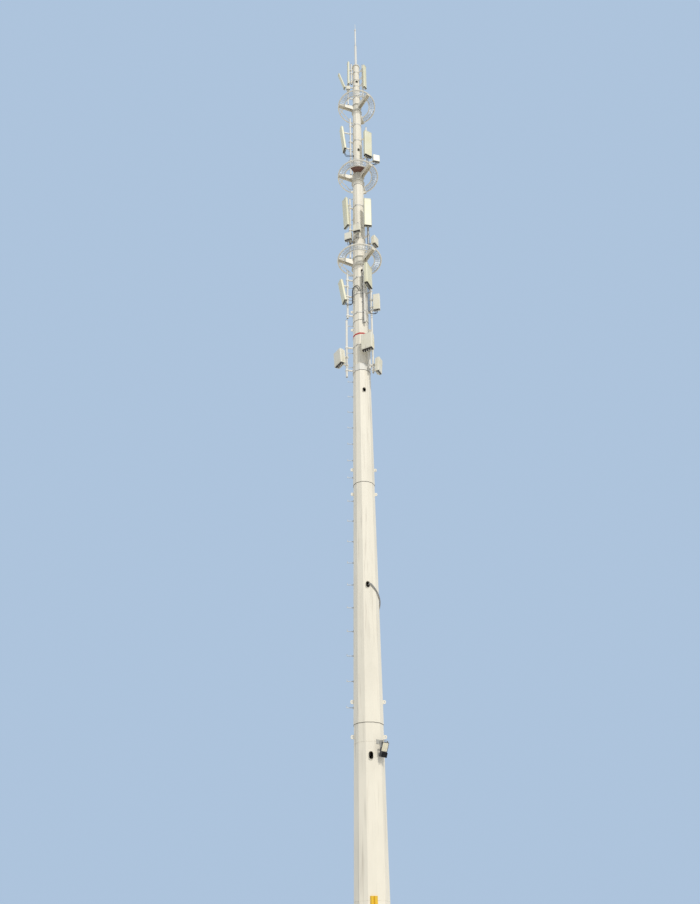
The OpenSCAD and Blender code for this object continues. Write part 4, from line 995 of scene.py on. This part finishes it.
add_piece("step_bolt_nuts", step_nuts(), fine_zinc)
add_piece("band_bolts", band_bolts(), fine_zinc)
add_piece("band_ear_slit_shadows", ear_slit_shadows(), slit)
add_piece("clamp_bolts", clamp_bolts(), fine_zinc)
add_piece("pipe_caps", pipe_caps(), cap_plastic, smooth=True)
add_piece("cap_flange_bolts", cap_bolts(), fine_zinc)
add_piece("rod_fittings", rod_fittings(), fine_zinc)
add_piece("pole_weld_beads", pole_welds(), paint, smooth=True)
add_piece("seam_shade_and_dirt", seam_shade_and_dirt(), darkening)
add_piece("guard_screws", guard_screws(), fine_zinc)
add_piece("gusset_welds", gusset_welds(), paint, smooth=True)

for index, unit in enumerate(PANELS, 1):
    add_piece(f"panel_{index}_screws", panel_screws(unit), fine_zinc)
    add_piece(f"panel_{index}_rails", panel_rails(unit), fine_zinc)
    add_piece(f"panel_{index}_underside", undersides(unit, 0.0), underside_shade)
    add_piece(f"panel_{index}_plug_nuts", plug_nuts(unit, 0.0), fine_zinc)
for index, unit in enumerate(UNITS, 1):
    add_piece(f"unit_{index}_cover", unit_cover(unit), housing)
    add_piece(f"unit_{index}_screws", unit_screws(unit), fine_zinc)
    add_piece(f"unit_{index}_handle", unit_handles(unit), fine_zinc, smooth=True)
    add_piece(f"unit_{index}_ribs", side_fins(unit), housing)
    add_piece(f"unit_{index}_underside", undersides(unit, FIN_DEPTH), underside_shade)
    add_piece(f"unit_{index}_plug_nuts", plug_nuts(unit, FIN_DEPTH / 2), fine_zinc)

add_piece("lamp_board", lamp_board(), board, LAMP_BODY)
add_piece("lamp_lenses", lamp_lenses(), lens, LAMP_BODY, smooth=True)
add_piece("lamp_fixings", lamp_fixings(), fine_zinc, LAMP_BODY)
add_piece("lamp_bracket_bolts", lamp_bracket_bolts(), fine_zinc)


# ---------------------------------------------------------------- camera, light and stage

# Camera as fitted to the photo's perspective, with its angles in degrees
EYE = (0, -19, 1.6)
YAW, PITCH, ROLL = 1.2036, 33.334, -0.4494
SENSOR_MM, LENS_MM = 36, 30.06
VIEW_LIMIT = 500


def place_camera():
    """The photographer's eye: 19 m in front of the pole, 1.6 m up, looking up at it."""
    optics = bpy.data.cameras.new("camera")
    optics.sensor_fit = "AUTO"
    optics.sensor_width = SENSOR_MM
    optics.lens = LENS_MM
    optics.clip_end = VIEW_LIMIT
    camera = bpy.data.objects.new("camera", optics)
    bpy.context.scene.collection.objects.link(camera)
    camera.matrix_world = (Matrix.Translation(EYE)
                           @ spin(YAW)
                           @ Matrix.Rotation(math.radians(90 + PITCH), 4, "X")
                           @ spin(ROLL))
    bpy.context.scene.camera = camera


def add_sun(name, energy, angle, azimuth, elevation, color):
    """Sun lamp that shines from an azimuth and an elevation, as wide as its angle."""
    lamp = bpy.data.lights.new(name, "SUN")
    lamp.energy = energy
    lamp.angle = math.radians(angle)
    lamp.color = color
    sun = bpy.data.objects.new(name, lamp)
    bpy.context.scene.collection.objects.link(sun)
    toward = polar(math.cos(math.radians(elevation)), azimuth, math.sin(math.radians(elevation)))
    sun.rotation_mode = "QUATERNION"
    sun.rotation_quaternion = toward.to_track_quat("Z", "Y")


AMBIENT_COLOR, AMBIENT = (0.93, 0.96, 1.0), 0.53
BACKDROP_COLOR = (0.42, 0.55, 0.72)


def set_world():
    """Even pale light, and a pale blue-grey backdrop that camera, gloss and glass see."""
    world = bpy.data.worlds.new("studio")
    world.use_nodes = True
    nodes, links = world.node_tree.nodes, world.node_tree.links
    light = nodes["Background"]
    light.inputs["Color"].default_value = (*AMBIENT_COLOR, 1)
    light.inputs["Strength"].default_value = AMBIENT
    backdrop = nodes.new("ShaderNodeBackground")
    backdrop.inputs["Color"].default_value = (*BACKDROP_COLOR, 1)
    backdrop.inputs["Strength"].default_value = 1.0
    rays = nodes.new("ShaderNodeLightPath")
    seen = nodes.new("ShaderNodeMath")
    seen.operation = "MAXIMUM"
    through = nodes.new("ShaderNodeMath")
    through.operation = "MAXIMUM"
    mix = nodes.new("ShaderNodeMixShader")
    links.new(rays.outputs["Is Camera Ray"], seen.inputs[0])
    links.new(rays.outputs["Is Glossy Ray"], seen.inputs[1])
    links.new(seen.outputs["Value"], through.inputs[0])
    links.new(rays.outputs["Is Transmission Ray"], through.inputs[1])
    links.new(through.outputs["Value"], mix.inputs["Fac"])
    links.new(light.outputs["Background"], mix.inputs[1])
    links.new(backdrop.outputs["Background"], mix.inputs[2])
    links.new(mix.outputs["Shader"], nodes["World Output"].inputs["Surface"])
    bpy.context.scene.world = world


FLOOR_RINGS = (0.01, 2.0, 12.0, 90.0)
FLOOR_SIDES = 64
FLOOR_DROP = 0.0005


def add_floor():
    """Wide round floor, a hair below the plane that the base flange stands on."""
    bm = bmesh.new()
    loft(bm, [[polar(r, k * 360 / FLOOR_SIDES, -FLOOR_DROP) for k in range(FLOOR_SIDES)]
              for r in FLOOR_RINGS], closed_ends=False)
    mesh = bpy.data.meshes.new("floor")
    bm.to_mesh(mesh)
    bm.free()
    mesh.materials.append(shader("floor", (0.70, 0.71, 0.71), 0.85)[0])
    floor = bpy.data.objects.new("floor", mesh)
    bpy.context.scene.collection.objects.link(floor)


place_camera()
set_world()
add_sun("key_light", 2.26, 6, -64, 45, (1.0, 0.965, 0.89))
add_sun("fill_light", 0.30, 60, 150, 30, (0.92, 0.96, 1.0))
add_floor()
bpy.context.scene.view_settings.view_transform = "Standard"
